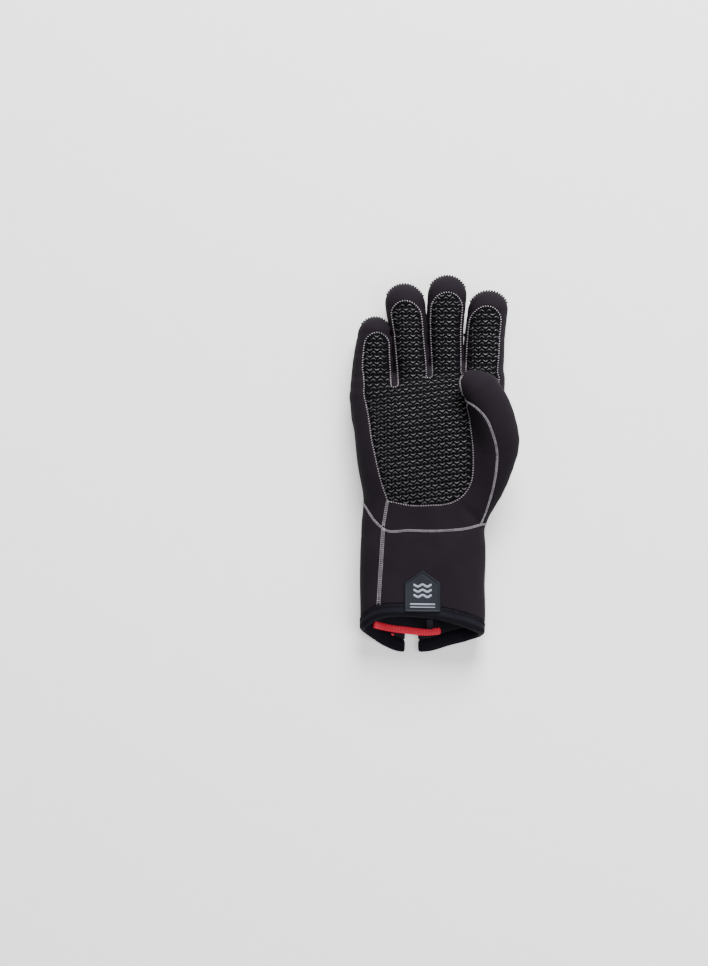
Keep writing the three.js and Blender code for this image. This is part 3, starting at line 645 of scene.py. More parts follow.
    def read(self, x: Array, y: Array, z: Array) -> Readings:
        """Reads every field of the glove.

        Args:
            x: across, in millimetres, in a shape that goes with y and z.
            y: along.
            z: up.

        Returns:
            The readings, in the common shape.
        """
        body, share, up, place = self.hand(x, y, z)
        fingers = [self.finger(finger, x, y, z) for finger in FINGERS]
        palm_body = body
        for reading in fingers:
            palm_body = np.minimum(palm_body, smooth_min(body, reading[0], self.finger_web))
        palm_body = smooth_max(palm_body, -z, self.floor_round)
        thumb_body = self.thumb_body(x, y, z)
        web = self.web_wrist + (self.web_palm - self.web_wrist) * step(-25, 5, y)
        web = web + (self.web_tip - self.web_palm) * step(26, 56, y)
        bare = smooth_max(smooth_min(palm_body, thumb_body, web), -z, self.floor_round)
        outside = bare - self.relief(x, y, z, [reading[3] for reading in fingers])
        outside = np.maximum(outside, -z)

        grip = self.grip_zone(place, x, y, z, fingers)
        off_hand = (thumb_body - palm_body) / 2
        grip = np.maximum(grip, -off_hand - 7 * (1 - step(38, 48, y)))
        below = np.maximum(self.side_seam - z, y - self.thumb_side_y)
        thumb = np.maximum(-self.off_line(THUMB_SEAM, x, y), np.minimum(below, off_hand))

        side = np.maximum(np.minimum(y - self.palm_side_y, off_hand), self.side_seam - z)
        palm = np.maximum(self.palm_seam_x(y) - x, side)
        cuff_front = np.maximum(self.cuff_seam_x(y) - x, self.side_seam - z)

        beside_slit = np.abs(x - self.slit_x)
        under = np.maximum(z - self.slit_height, 0)
        slit = np.maximum(beside_slit - self.zip_width / 2, y - self.slit_top) + under
        notch = np.maximum(beside_slit - self.notch_width / 2, y - self.hem_y - self.notch_depth) + under
        return Readings(
            outside=outside, bare=bare, palm_body=palm_body, thumb_body=thumb_body, grip=grip, thumb=thumb,
            palm=palm, hand_side=self.wrist_line(share, up) - y, cuff_front=cuff_front,
            above_hem=self.hem_line(share, up) - y, slit=slit, notch=notch, height=z + 0 * outside,
        )


class Panel(Enum):
    """The foam pieces, by the name of the node each stands for."""

    GRIP = "grip_panel"
    PALM = "palm_panel"
    BACK = "back_panel"
    THUMB = "thumb_panel"
    CUFF_FRONT = "cuff_front_panel"
    CUFF_BACK = "cuff_back_panel"
    BINDING = "hem_binding"


def panel_field(form: GloveForm, panel: Panel, r: Readings) -> Array:
    """The field whose zero level is one panel: the wall, met with the panel's side of each seam, edges rounded.

    Args:
        form: the glove.
        panel: which piece.
        r: readings at the points.

    Returns:
        The field, negative in the panel's foam.
    """
    gap = form.seam_gap / 2
    soft = form.seam_round
    if panel is Panel.BINDING:
        proud = form.binding_proud
        band = smooth_max(r.outside - proud, -(r.bare + form.wall + proud), 1.0)
        band = smooth_max(band, r.above_hem, form.hem_round)
        band = smooth_max(band, -r.above_hem - form.binding_width, 0.8)
        band = smooth_max(band, -r.notch, 2.5)
        return smooth_max(band, -r.height, 0.3)
    shell = smooth_max(r.outside, -(r.bare + form.wall), form.wall_round)
    upper = smooth_max(shell, r.hand_side + gap, soft)
    if panel is Panel.GRIP:
        return smooth_max(upper, r.grip + gap, soft)
    if panel is Panel.THUMB:
        return smooth_max(smooth_max(upper, r.thumb + gap, soft), -r.grip + gap, soft)
    if panel in (Panel.PALM, Panel.BACK):
        rest = smooth_max(smooth_max(upper, -r.grip + gap, soft), -r.thumb + gap, soft)
        return smooth_max(rest, (r.palm if panel is Panel.PALM else -r.palm) + gap, soft)
    lower = smooth_max(shell, -r.hand_side + gap, soft)
    lower = smooth_max(lower, r.above_hem + form.binding_width + gap, 0.5)
    if panel is Panel.CUFF_FRONT:
        return smooth_max(lower, r.cuff_front + gap, soft)
    lower = smooth_max(lower, -r.cuff_front + gap, soft)
    return smooth_max(smooth_max(lower, -r.slit, 1.0), -r.notch, 1.5)


def surface_net(values: Array, low: Array, pitch: float) -> tuple[Array, Array]:
    """The zero level of a gridded field as quads, by naive surface nets.

    Each cell whose corners differ in sign holds one vertex, at the mean of its crossed edges. Each crossed grid
    edge gives a quad through the four cells round it.

    Args:
        values: the field on the grid.
        low: the grid's lowest corner.
        pitch: the grid's spacing.

    Returns:
        Vertices, and quads that face out of the negative side.
    """
    inside = values < 0
    shape = np.array(values.shape) - 1
    count = np.zeros(shape, dtype=np.int8)
    for i, j, k in product((0, 1), repeat=3):
        count += inside[i:shape[0] + i, j:shape[1] + j, k:shape[2] + k]
    active = (count > 0) & (count < 8)
    cells = np.argwhere(active)
    index = np.full(shape, -1, dtype=np.int64)
    index[active] = np.arange(len(cells))
    total = np.zeros((len(cells), 3))
    crossed = np.zeros(len(cells))
    for axis in range(3):
        for other in product((0, 1), repeat=2):
            start = np.insert(np.array(other), axis, 0)
            end = np.insert(np.array(other), axis, 1)
            v0 = values[tuple((cells + start).T)].astype(float)
            v1 = values[tuple((cells + end).T)].astype(float)
            cross = (v0 < 0) != (v1 < 0)
            t = np.where(cross, v0 / np.where(cross, v0 - v1, 1.0), 0.0)
            total += np.where(cross[:, None], start + t[:, None] * (end - start), 0.0)
            crossed += cross
    vertices = low + pitch * (cells + total / crossed[:, None])
    quads = []
    for axis in range(3):
        a, b = (axis + 1) % 3, (axis + 2) % 3
        first = np.take(inside, range(inside.shape[axis] - 1), axis=axis)
        second = np.take(inside, range(1, inside.shape[axis]), axis=axis)
        places = np.argwhere(first != second)
        places = places[(places[:, a] > 0) & (places[:, b] > 0)]
        places = places[(places[:, a] < shape[a]) & (places[:, b] < shape[b])]
        ea, eb = np.eye(3, dtype=int)[a], np.eye(3, dtype=int)[b]
        ring = [index[tuple((places - da * ea - db * eb).T)] for da, db in ((1, 1), (0, 1), (0, 0), (1, 0))]
        faces = np.stack(ring, axis=1)
        outward = first[tuple(places.T)]
        faces[~outward] = faces[~outward][:, ::-1]
        quads.append(faces)
    return vertices, np.concatenate(quads)


def slope_of(measure: Measure, points: Array, reach: float = 0.05) -> tuple[Array, Array]:
    """A field's value at points and its slope there, from differences over a short reach.

    Args:
        measure: takes x, y and z and returns the field.
        points: where, one row each.
        reach: half the distance of a difference, in millimetres.

    Returns:
        Values and slopes.
    """
    value = measure(*points.T)
    slope = np.empty_like(points)
    for axis in range(3):
        ahead, behind = points.copy(), points.copy()
        ahead[:, axis] += reach
        behind[:, axis] -= reach
        slope[:, axis] = (measure(*ahead.T) - measure(*behind.T)) / (2 * reach)
    return value, slope


def settle(measure: Measure, points: Array, rounds: int = 3, most: float = 0.8) -> tuple[Array, Array]:
    """Moves points onto a field's zero level by Newton steps, and gives its outward directions there.

    Args:
        measure: takes x, y and z and returns the field.
        points: near the level, one row each.
        rounds: how many steps.
        most: the longest step, in millimetres.

    Returns:
        The points, and unit normals.
    """
    moved = points.copy()
    for _ in range(rounds):
        value, slope = slope_of(measure, moved)
        size = np.maximum(np.sum(slope * slope, axis=1), 0.05)
        moved -= slope * np.clip(value / size, -most, most)[:, None]
    return moved, unit(slope_of(measure, moved)[1])


def drop_onto(measure: Measure, x: Array, y: Array, start: Array | float, rounds: int = 7) -> tuple[Array, Array]:
    """Drops points straight down, or lifts them, onto a field's zero level, each keeping its x and y.

    Args:
        measure: takes x, y and z and returns the field.
        x: across.
        y: along.
        start: the height to start from.
        rounds: how many steps.

    Returns:
        The points, and unit normals.
    """
    points = np.stack([x, y, np.broadcast_to(start, x.shape).astype(float)], axis=1)
    for _ in range(rounds):
        value, slope = slope_of(measure, points)
        points[:, 2] -= np.clip(value / np.maximum(slope[:, 2], 0.25), -6, 6)
    return points, unit(slope_of(measure, points)[1])


def make_piece(name: str, vertices: Array, faces: Array, materials: list, nodes: tuple[str, ...] = (),
               material_of: Array | None = None) -> bpy.types.Object:
    """Makes one smooth-shaded piece that rides on the glove.

    Args:
        name: the piece's name.
        vertices: its points in millimetres.
        faces: its faces, all with the same number of corners.
        materials: its finishes.
        nodes: the solids it stands for.
        material_of: which finish each face takes.

    Returns:
        The object.
    """
    mesh = bpy.data.meshes.new(name)
    sides = faces.shape[1]
    mesh.vertices.add(len(vertices))
    mesh.vertices.foreach_set("co", (np.asarray(vertices) * MM).astype(np.float32).ravel())
    mesh.loops.add(faces.size)
    mesh.loops.foreach_set("vertex_index", faces.astype(np.int32).ravel())
    mesh.polygons.add(len(faces))
    mesh.polygons.foreach_set("loop_start", np.arange(0, faces.size, sides, dtype=np.int32))
    mesh.polygons.foreach_set("use_smooth", np.ones(len(faces), dtype=bool))
    if material_of is not None:
        mesh.polygons.foreach_set("material_index", material_of.astype(np.int32))
    mesh.update(calc_edges=True)
    mesh.validate()
    for material in materials:
        mesh.materials.append(material)
    piece = bpy.data.objects.new(name, mesh)
    bpy.context.scene.collection.objects.link(piece)
    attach(piece, "root")
    if nodes:
        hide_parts(*nodes)
    LOG.info("%s: %d faces", name, len(faces))
    return piece


def grid_faces(rows: int, columns: int, closed: bool = True) -> Array:
    """Quads over a grid of points held row by row, with the columns closed into a ring or left open."""
    turns = columns if closed else columns - 1
    i, j = np.meshgrid(np.arange(rows - 1), np.arange(turns), indexing="ij")
    first, after = i * columns + j, i * columns + (j + 1) % columns
    return np.stack([first, after, after + columns, first + columns], axis=-1).reshape(-1, 4)


def sheet_faces(rows: int, columns: int) -> Array:
    """Quads of a closed sheet, whose top grid of points is followed by its bottom grid, with a rim between."""
    faces = grid_faces(rows, columns, closed=False)
    count = rows * columns
    edge = np.concatenate([
        np.arange(columns - 1), np.arange(columns - 1, count - 1, columns),
        np.arange(count - 1, count - columns, -1), np.arange(count - columns, 0, -columns),
    ])
    after = np.roll(edge, -1)
    rim = np.stack([after, edge, edge + count, after + count], axis=1)
    return np.concatenate([faces, faces[:, ::-1] + count, rim])


def tube_faces(length: int, around: int) -> Array:
    """Triangles of one closed tube whose rings turn from its side to its lift, with a fan over each end."""
    quads = grid_faces(length, around)[:, ::-1]
    turn = np.arange(1, around - 1)
    first = np.stack([0 * turn, turn, turn + 1], axis=1)
    last = first[:, ::-1] + (length - 1) * around
    return np.concatenate([quads[:, [0, 1, 2]], quads[:, [0, 2, 3]], first, last])


def tubes(centres: Array, side: Array, lift: Array, size: tuple[float, float], around: int) -> tuple[Array, Array]:
    """Many closed tubes at once: a ring of points round each centre, its ends drawn nearly to a point and closed.

    Point k of a ring is centre + wide cos(angle) side + tall sin(angle) lift, and side is the heading crossed with
    lift.

    Args:
        centres: tubes by points by 3.
        side: the ring's sideways direction, one for all or one at each centre.
        lift: the ring's upward direction, likewise.
        size: the ring's half width and half height.
        around: how many points in a ring.

    Returns:
        Vertices and triangles.
    """
    count, length = centres.shape[:2]
    angle = 2 * math.pi * (np.arange(around) + 0.5) / around
    taper = np.ones(length)
    taper[[0, -1]] = TUBE_END
    sides, lifts = (np.broadcast_to(direction, centres.shape)[:, :, None] for direction in (side, lift))
    wide, tall = ((half * taper)[:, None, None] for half in size)
    ring = centres[:, :, None] + wide * np.cos(angle)[:, None] * sides + tall * np.sin(angle)[:, None] * lifts
    offsets = np.arange(count)[:, None, None] * (length * around)
    return ring.reshape(-1, 3), (tube_faces(length, around)[None] + offsets).reshape(-1, 3)


def threads(centres: Array, out: Array, size: tuple[float, float], around: int = 5) -> tuple[Array, Array]:
    """Closed tubes along rows of points, squared to their headings and to the outward directions."""
    ahead = unit(np.gradient(centres, axis=1))
    return tubes(centres, unit(np.cross(ahead, out)), out, size, around)


@dataclass(frozen=True)
class Path:
    """A line that lies on the glove, evenly spaced, with the outward and sideways directions at its points."""

    points: Array
    normals: Array

    @property
    def length(self) -> float:
        """The line's length in millimetres."""
        return float(arc_lengths(self.points)[-1])

    def at(self, distance: Array) -> tuple[Array, Array, Array]:
        """Points, sideways directions and outward directions at distances along the line."""
        along = arc_lengths(self.points)
        read = np.stack([np.interp(distance, along, self.points[:, k]) for k in range(3)], axis=-1)
        out = unit(np.stack([np.interp(distance, along, self.normals[:, k]) for k in range(3)], axis=-1))
        heading = unit(np.gradient(self.points, along, axis=0))
        ahead = np.stack([np.interp(distance, along, heading[:, k]) for k in range(3)], axis=-1)
        return read, unit(np.cross(ahead, out)), out


class ShaderValue:
    """A number socket of a material's nodes that can be used in Python expressions."""

    def __init__(self, tree: bpy.types.NodeTree, socket: bpy.types.NodeSocket) -> None:
        """Wraps a socket of a tree."""
        self.tree = tree
        self.socket = socket

    def math(self, operation: str, *others: "ShaderValue | float", flip: bool = False) -> "ShaderValue":
        """Adds a Math node.

        Args:
            operation: the node's operation.
            others: its other inputs.
            flip: whether this value comes second.

        Returns:
            The node's result.
        """
        inputs = [self, *others]
        if flip:
            inputs = [*others, self]
        sockets = {k: v.socket if isinstance(v, ShaderValue) else v for k, v in enumerate(inputs)}
        made = add_node(self.tree, "ShaderNodeMath", {"operation": operation}, sockets)
        return ShaderValue(self.tree, made.outputs[0])

    def __add__(self, other: "ShaderValue | float") -> "ShaderValue":
        """This plus other."""
        return self.math("ADD", other)

    __radd__ = __add__

    def __sub__(self, other: "ShaderValue | float") -> "ShaderValue":
        """This less other."""
        return self.math("SUBTRACT", other)

    def __rsub__(self, other: float) -> "ShaderValue":
        """Other less this."""
        return self.math("SUBTRACT", other, flip=True)

    def __mul__(self, other: "ShaderValue | float") -> "ShaderValue":
        """This times other."""
        return self.math("MULTIPLY", other)

    __rmul__ = __mul__

    def sine(self) -> "ShaderValue":
        """The sine."""
        return self.math("SINE")

    def size(self) -> "ShaderValue":
        """The value without its sign."""
        return self.math("ABSOLUTE")

    def rest(self) -> "ShaderValue":
        """The part after the point."""
        return self.math("FRACT")


def add_node(tree: bpy.types.NodeTree, kind: str, settings: dict, sockets: dict) -> bpy.types.Node:
    """Adds a node, sets it, then gives its sockets their values or links.

    Args:
        tree: the material's nodes.
        kind: the node's type.
        settings: attributes to set first; a list under "stops" fills a colour ramp.
        sockets: values or sockets to link, by name or number.

    Returns:
        The node.
    """
    made = tree.nodes.new(kind)
    for key, value in settings.items():
        if key == "stops":
            ramp = made.color_ramp.elements
            while len(ramp) < len(value):
                ramp.new(0.5)
            for element, (place, colour) in zip(ramp, value):
                element.position = place
                element.color = colour
        else:
            setattr(made, key, value)
    for key, value in sockets.items():
        if isinstance(value, bpy.types.NodeSocket):
            tree.links.new(value, made.inputs[key])
        else:
            made.inputs[key].default_value = value
    return made


Colour = tuple[float, float, float]


def tone(red: int, green: int, blue: int) -> Colour:
    """A display colour from 0 to 255 as linear light."""
    return tuple(((v / 255 + 0.055) / 1.055) ** 2.4 if v > 10 else v / 255 / 12.92 for v in (red, green, blue))


@dataclass(frozen=True)
class Finish:
    """A finish's colours and shine. Subclasses say how its height and its light and dark run over the surface."""

    name: str
    dark: Colour
    light: Colour
    roughness: float = 0.85
    specular: float = 0.3
    sheen: float = 0.0
    coat: float = 0.0
    bump_mm: float = 0.12
    bump_strength: float = 0.6
    # Scale of the slow lightness noise; on the grip print it makes some chevrons lighter than others as painted
    # glints.
    mottle: float = 60.0
    glow: float = 0.0

    def pattern(self, tree: bpy.types.NodeTree, place: bpy.types.NodeSocket) -> tuple[ShaderValue, ShaderValue]:
        """Height of the surface, and how light it is, both from 0 to 1: here only slow mottling, which on the grip
        print is painted glints.
        """
        mottle = add_node(tree, "ShaderNodeTexNoise", {}, {"Vector": place, "Scale": 900.0, "Detail": 2.0})
        slow = add_node(tree, "ShaderNodeTexNoise", {}, {"Vector": place, "Scale": self.mottle, "Detail": 3.0})
        return ShaderValue(tree, mottle.outputs["Fac"]), (ShaderValue(tree, slow.outputs["Fac"]) - 0.5) * 2 + 0.5

    def build(self) -> bpy.types.Material:
        """Builds the material on Object coordinates.

        Returns:
            The material.
        """
        material = bpy.data.materials.new(self.name)
        material.use_nodes = True
        tree = material.node_tree
        tree.nodes.clear()
        place = add_node(tree, "ShaderNodeTexCoord", {}, {}).outputs["Object"]
        height, lightness = self.pattern(tree, place)
        colour = add_node(
            tree, "ShaderNodeMix", {"data_type": "RGBA"},
            {0: lightness.socket, 6: (*self.dark, 1), 7: (*self.light, 1)},
        )
        bump = add_node(
            tree, "ShaderNodeBump", {},
            {"Strength": self.bump_strength, "Distance": self.bump_mm * MM, "Height": height.socket},
        )
        shader = add_node(
            tree, "ShaderNodeBsdfPrincipled", {},
            {
                "Base Color": colour.outputs[2], "Roughness": self.roughness, "Specular IOR Level": self.specular,
                "Sheen Weight": self.sheen, "Sheen Roughness": 0.45, "Coat Weight": self.coat,
                "Coat Roughness": 0.25, "Normal": bump.outputs[0],
                "Emission Color": (1, 1, 1, 1), "Emission Strength": self.glow,
            },
        )
        add_node(tree, "ShaderNodeOutputMaterial", {}, {"Surface": shader.outputs[0]})
        return material


@dataclass(frozen=True)
class KnitFinish(Finish):
    """Jersey knit: rows of small Vs, each a sine along the cloth bent by its distance from its column's middle."""

    column_mm: float = 0.95
    row_mm: float = 0.8

    def pattern(self, tree: bpy.types.NodeTree, place: bpy.types.NodeSocket) -> tuple[ShaderValue, ShaderValue]:
        """Height from the Vs and from fine mottling of the pile, and lightness from slow mottling plus painted
        shade that follows the Vs: darker in the grooves and between the loops, lighter on them.
        """
        axes = add_node(tree, "ShaderNodeSeparateXYZ", {}, {"Vector": place})
        x, y, z = (ShaderValue(tree, axes.outputs[k]) for k in range(3))
        column = ((x + z * 0.7) * (1000 / self.column_mm)).rest() - 0.5
        rise = y * (1000 / self.row_mm) + column.size() * 1.3
        loops = (rise * (2 * math.pi)).sine() * 0.5 + 0.5
        groove = 1.0 - column.size() * column.size() * 3.2
        fine = add_node(tree, "ShaderNodeTexNoise", {}, {"Vector": place, "Scale": 1400.0, "Detail": 2.0})
        slow = add_node(tree, "ShaderNodeTexNoise", {}, {"Vector": place, "Scale": 45.0, "Detail": 4.0})
        height = loops * groove * 0.75 + ShaderValue(tree, fine.outputs["Fac"]) * 0.4
        # Painted shade: a quarter of the lightness follows the loops' relief, darker in the grooves between the
        # columns and between the rows.
        lightness = loops * groove * 0.25 + ShaderValue(tree, slow.outputs["Fac"]) * 0.75
        return height, lightness


@dataclass(frozen=True)
class WovenFinish(Finish):
    """Plain weave: a product of two sines, for the binding, the tab and the red tape."""

    thread_mm: float = 0.7

    def pattern(self, tree: bpy.types.NodeTree, place: bpy.types.NodeSocket) -> tuple[ShaderValue, ShaderValue]:
        """Height from the crossing threads, and lightness from slow mottling plus painted shade that follows the
        threads: darker where they dip, lighter where they rise.
        """
        axes = add_node(tree, "ShaderNodeSeparateXYZ", {}, {"Vector": place})
        x, y, z = (ShaderValue(tree, axes.outputs[k]) for k in range(3))
        turn = 1000 * math.pi / self.thread_mm
        weave = (x * turn).sine() * ((y + z) * turn).sine() * 0.5 + 0.5
        slow = add_node(tree, "ShaderNodeTexNoise", {}, {"Vector": place, "Scale": 150.0, "Detail": 3.0})
        # Painted shade: about a third of the lightness follows the weave's relief, darker where the threads dip.
        return weave, weave * 0.35 + ShaderValue(tree, slow.outputs["Fac"]) * 0.65


# The knit finishes below (cloth, lining and grip cloth) carry painted shade in the knit's grooves.
CLOTH = KnitFinish("foam_cloth", tone(20, 15, 21), tone(30, 25, 31), roughness=0.85, specular=0.08)
LINING = KnitFinish("lining", tone(28, 28, 33), tone(42, 42, 48), roughness=0.9, specular=0.06, column_mm=1.2)
GRIP_CLOTH = KnitFinish("grip_cloth", tone(4, 3, 5), tone(11, 10, 13), roughness=0.9, specular=0.06)
# Grip print: its own colour is a dark grey rubber. Its slow mottle up to the light tone, with some chevrons much
# lighter than others, is painted glints.
PRINT_WITH_PAINTED_GLINTS = Finish("grip_print_painted_glints", tone(16, 15, 19), tone(54, 53, 60), roughness=0.3, specular=0.6, coat=0.4,
               bump_mm=0.03, mottle=260.0)
THREAD = Finish("seam_thread", tone(108, 103, 109), tone(174, 168, 174), roughness=0.7, sheen=0.1, bump_mm=0.04,
                mottle=400.0)
DARK_THREAD = Finish("dark_thread", tone(6, 5, 7), tone(16, 14, 18), roughness=0.8, specular=0.1, bump_mm=0.04)
# The woven finishes below (binding and red tape) carry painted shade between their threads.
BINDING = WovenFinish("binding_cloth", tone(12, 12, 18), tone(26, 25, 34), roughness=0.85, specular=0.1)
RED = WovenFinish("red_binding", tone(212, 20, 48), tone(248, 42, 72), roughness=0.75, specular=0.15, bump_mm=0.25)
RED_THREAD = Finish("red_thread", tone(236, 44, 72), tone(254, 96, 116), roughness=0.65, specular=0.2)
BADGE = Finish("badge_rubber", tone(15, 18, 26), tone(24, 28, 37), roughness=0.6, specular=0.2, bump_mm=0.04)
BADGE_MARK = Finish("badge_mark", tone(120, 126, 138), tone(146, 152, 164), roughness=0.55, specular=0.3,
                    bump_mm=0.02)
ZIP = Finish("zip_teeth", tone(14, 14, 16), tone(26, 26, 29), roughness=0.45, specular=0.4, bump_mm=0.02)


@dataclass
class FoamPanels:
    """The foam panels and the bound hem, cut from one wall."""

    form: GloveForm
    pitch: float = 1.15
    quick_pitch: float = 2.0
    margin: float = 4.0
    low: tuple[float, float, float] = (-67.0, -152.5, 0.0)
    high: tuple[float, float, float] = (67.5, 153.0, 64.5)
    lining_depth: float = 0.62

    def grid(self) -> tuple[Array, list[Array], float]:
        """The grid over the glove: its low corner, its three axes and its pitch."""
        pitch = self.pitch
        low = np.array(self.low) - self.margin
        axes = [np.arange(low[k], self.high[k] + self.margin, pitch) for k in range(3)]
        return low, axes, pitch

    def build(self) -> None:
        """Reads the fields once over the grid, then cuts, relaxes and settles each panel."""
        low, axes, pitch = self.grid()
        x, y, z = (axis.reshape([-1 if k == n else 1 for k in range(3)]) for n, axis in enumerate(axes))
        readings = self.form.read(x, y, z)
        LOG.info("grid of %s points read", "x".join(str(len(axis)) for axis in axes))
        finishes = {name: finish.build() for name, finish in
                    (("cloth", CLOTH), ("lining", LINING), ("grip", GRIP_CLOTH), ("binding", BINDING))}
        slots = {Panel.GRIP: ("grip", "rubber_print"), Panel.BINDING: ("binding", "binding_cloth")}
        for panel in Panel:
            values = np.ascontiguousarray(panel_field(self.form, panel, readings), dtype=np.float32)
            vertices, quads = surface_net(values, low, pitch)
            vertices = self.relax(vertices, quads)

            def measure(px: Array, py: Array, pz: Array, piece: Panel = panel) -> Array:
                """The panel's field at points."""
                return panel_field(self.form, piece, self.form.read(px, py, pz))

            vertices, _ = settle(measure, vertices, rounds=2, most=0.6)
            finish, slot = slots.get(panel, ("cloth", "foam_cloth"))
            middles = vertices[quads].mean(axis=1)
            inner = self.form.read(*middles.T).bare < -self.lining_depth * self.form.wall
            piece = make_piece(panel.value + "_foam", vertices, quads, [finishes[finish], finishes["lining"]],
                               (panel.value,), inner & (panel is not Panel.BINDING))

    @staticmethod
    def relax(vertices: Array, quads: Array) -> Array:
        """Draws each vertex halfway to the mean of its neighbours, which evens the net before it is settled."""
        total = np.zeros_like(vertices)
        count = np.zeros(len(vertices))
        for a, b in ((0, 1), (1, 2), (2, 3), (3, 0)):
            for start, end in ((a, b), (b, a)):
                for k in range(3):
                    total[:, k] += np.bincount(quads[:, start], vertices[quads[:, end], k], len(vertices))
                count += np.bincount(quads[:, start], minlength=len(vertices))
        return 0.5 * vertices + 0.5 * total / np.maximum(count, 1)[:, None]


@dataclass
class GripPrint:
    """The raised rubber print: short chevrons, points down and points up by turns, in rows over the grip."""

    form: GloveForm
    column: float = 5.8
    row: float = 5.4
    shift: float = 2.7
    width: float = 4.4
    fall: float = 1.8
    stroke: float = 0.95
    height: float = 0.55
    tilt: float = 0.13
    finger_tilt: float = 0.02
    finger_y: float = 60.0
    edge: float = 1.5
    origin_y: float = -40.0
    columns: tuple[int, int] = (-12, 13)
    rows: tuple[int, int] = (-10, 34)
    start: float = 46.0

    def centres(self) -> tuple[Array, Array]:
        """Middles of the chevrons and which way each points, on a slanted lattice over the grip.

        Returns:
            Places, and 1 for a point down or -1 for a point up.
        """
        i, j = np.meshgrid(np.arange(*self.columns), np.arange(*self.rows), indexing="ij")
        down = np.stack([i * self.column, j * self.row], axis=-1).reshape(-1, 2)
        up = down + (self.column / 2, -self.shift)
        places = np.concatenate([down, up]) + (self.form.hand_x, self.origin_y)
        signs = np.concatenate([np.ones(len(down)), -np.ones(len(up))])
        slant = self.tilt * (1 - 0.85 * step(45, 75, places[:, 1]))
        places[:, 1] += slant * (places[:, 0] - self.form.hand_x)
        return places, signs

    def build(self) -> None:
        """Lays every chevron that falls inside the grip's edge on the cloth.

        Each is a closed band: five stations along a bent line, each a ring of four points, low at its edges and
        raised between them. It is dropped onto the palm and raised along the palm's own normals.
        """
        places, signs = self.centres()
        surface = self.form.grip_surface
        tops, _ = drop_onto(surface, places[:, 0], places[:, 1], self.start)
        readings = self.form.read(*tops.T)
        kept = (readings.grip < -self.edge) & ((readings.thumb_body > 0.5) | (places[:, 1] < self.form.fork_y))
        kept &= np.abs(surface(*tops.T)) < 0.2
        places, signs = places[kept], signs[kept]
        along = np.array([-0.5, -0.17, 0.0, 0.17, 0.5])
        ends = np.array([0.5, 1.0, 1.0, 1.0, 0.5])
        profile_across = np.array([-0.5, -0.27, 0.27, 0.5])
        profile_up = np.array([-0.35, 1.0, 1.0, -0.35])
        bend = np.sqrt((2 * along) ** 2 + 0.03) - math.sqrt(0.03)
        heading = unit(np.stack([np.full(len(along), self.width), np.gradient(bend, along) * self.fall], axis=-1))
        reach = profile_across * self.stroke * ends[:, None]
        sign = signs[:, None, None]
        flat_x = (along * self.width)[:, None] - sign * heading[:, 1, None] * reach
        flat_y = sign * ((bend - 0.5) * self.fall)[:, None] + heading[:, 0, None] * reach
        turn = np.where(places[:, 1] < self.finger_y, self.tilt, self.finger_tilt)[:, None, None]
        x = places[:, 0, None, None] + flat_x
        y = places[:, 1, None, None] + flat_y + turn * flat_x
        points, normals = drop_onto(surface, x.ravel(), y.ravel(), self.start)
        lift = np.broadcast_to(profile_up * self.height * ends[:, None] ** 0.5, x.shape).ravel()
        offset = np.arange(len(signs))[:, None, None] * reach.size
        faces = tube_faces(*reach.shape) + offset
        # The chevrons' finish carries painted glints: some chevrons are lighter than others.
        make_piece("grip_chevrons", points + normals * lift[:, None], faces.reshape(-1, 3), [PRINT_WITH_PAINTED_GLINTS.build()])
        LOG.info("%d chevrons", len(signs))


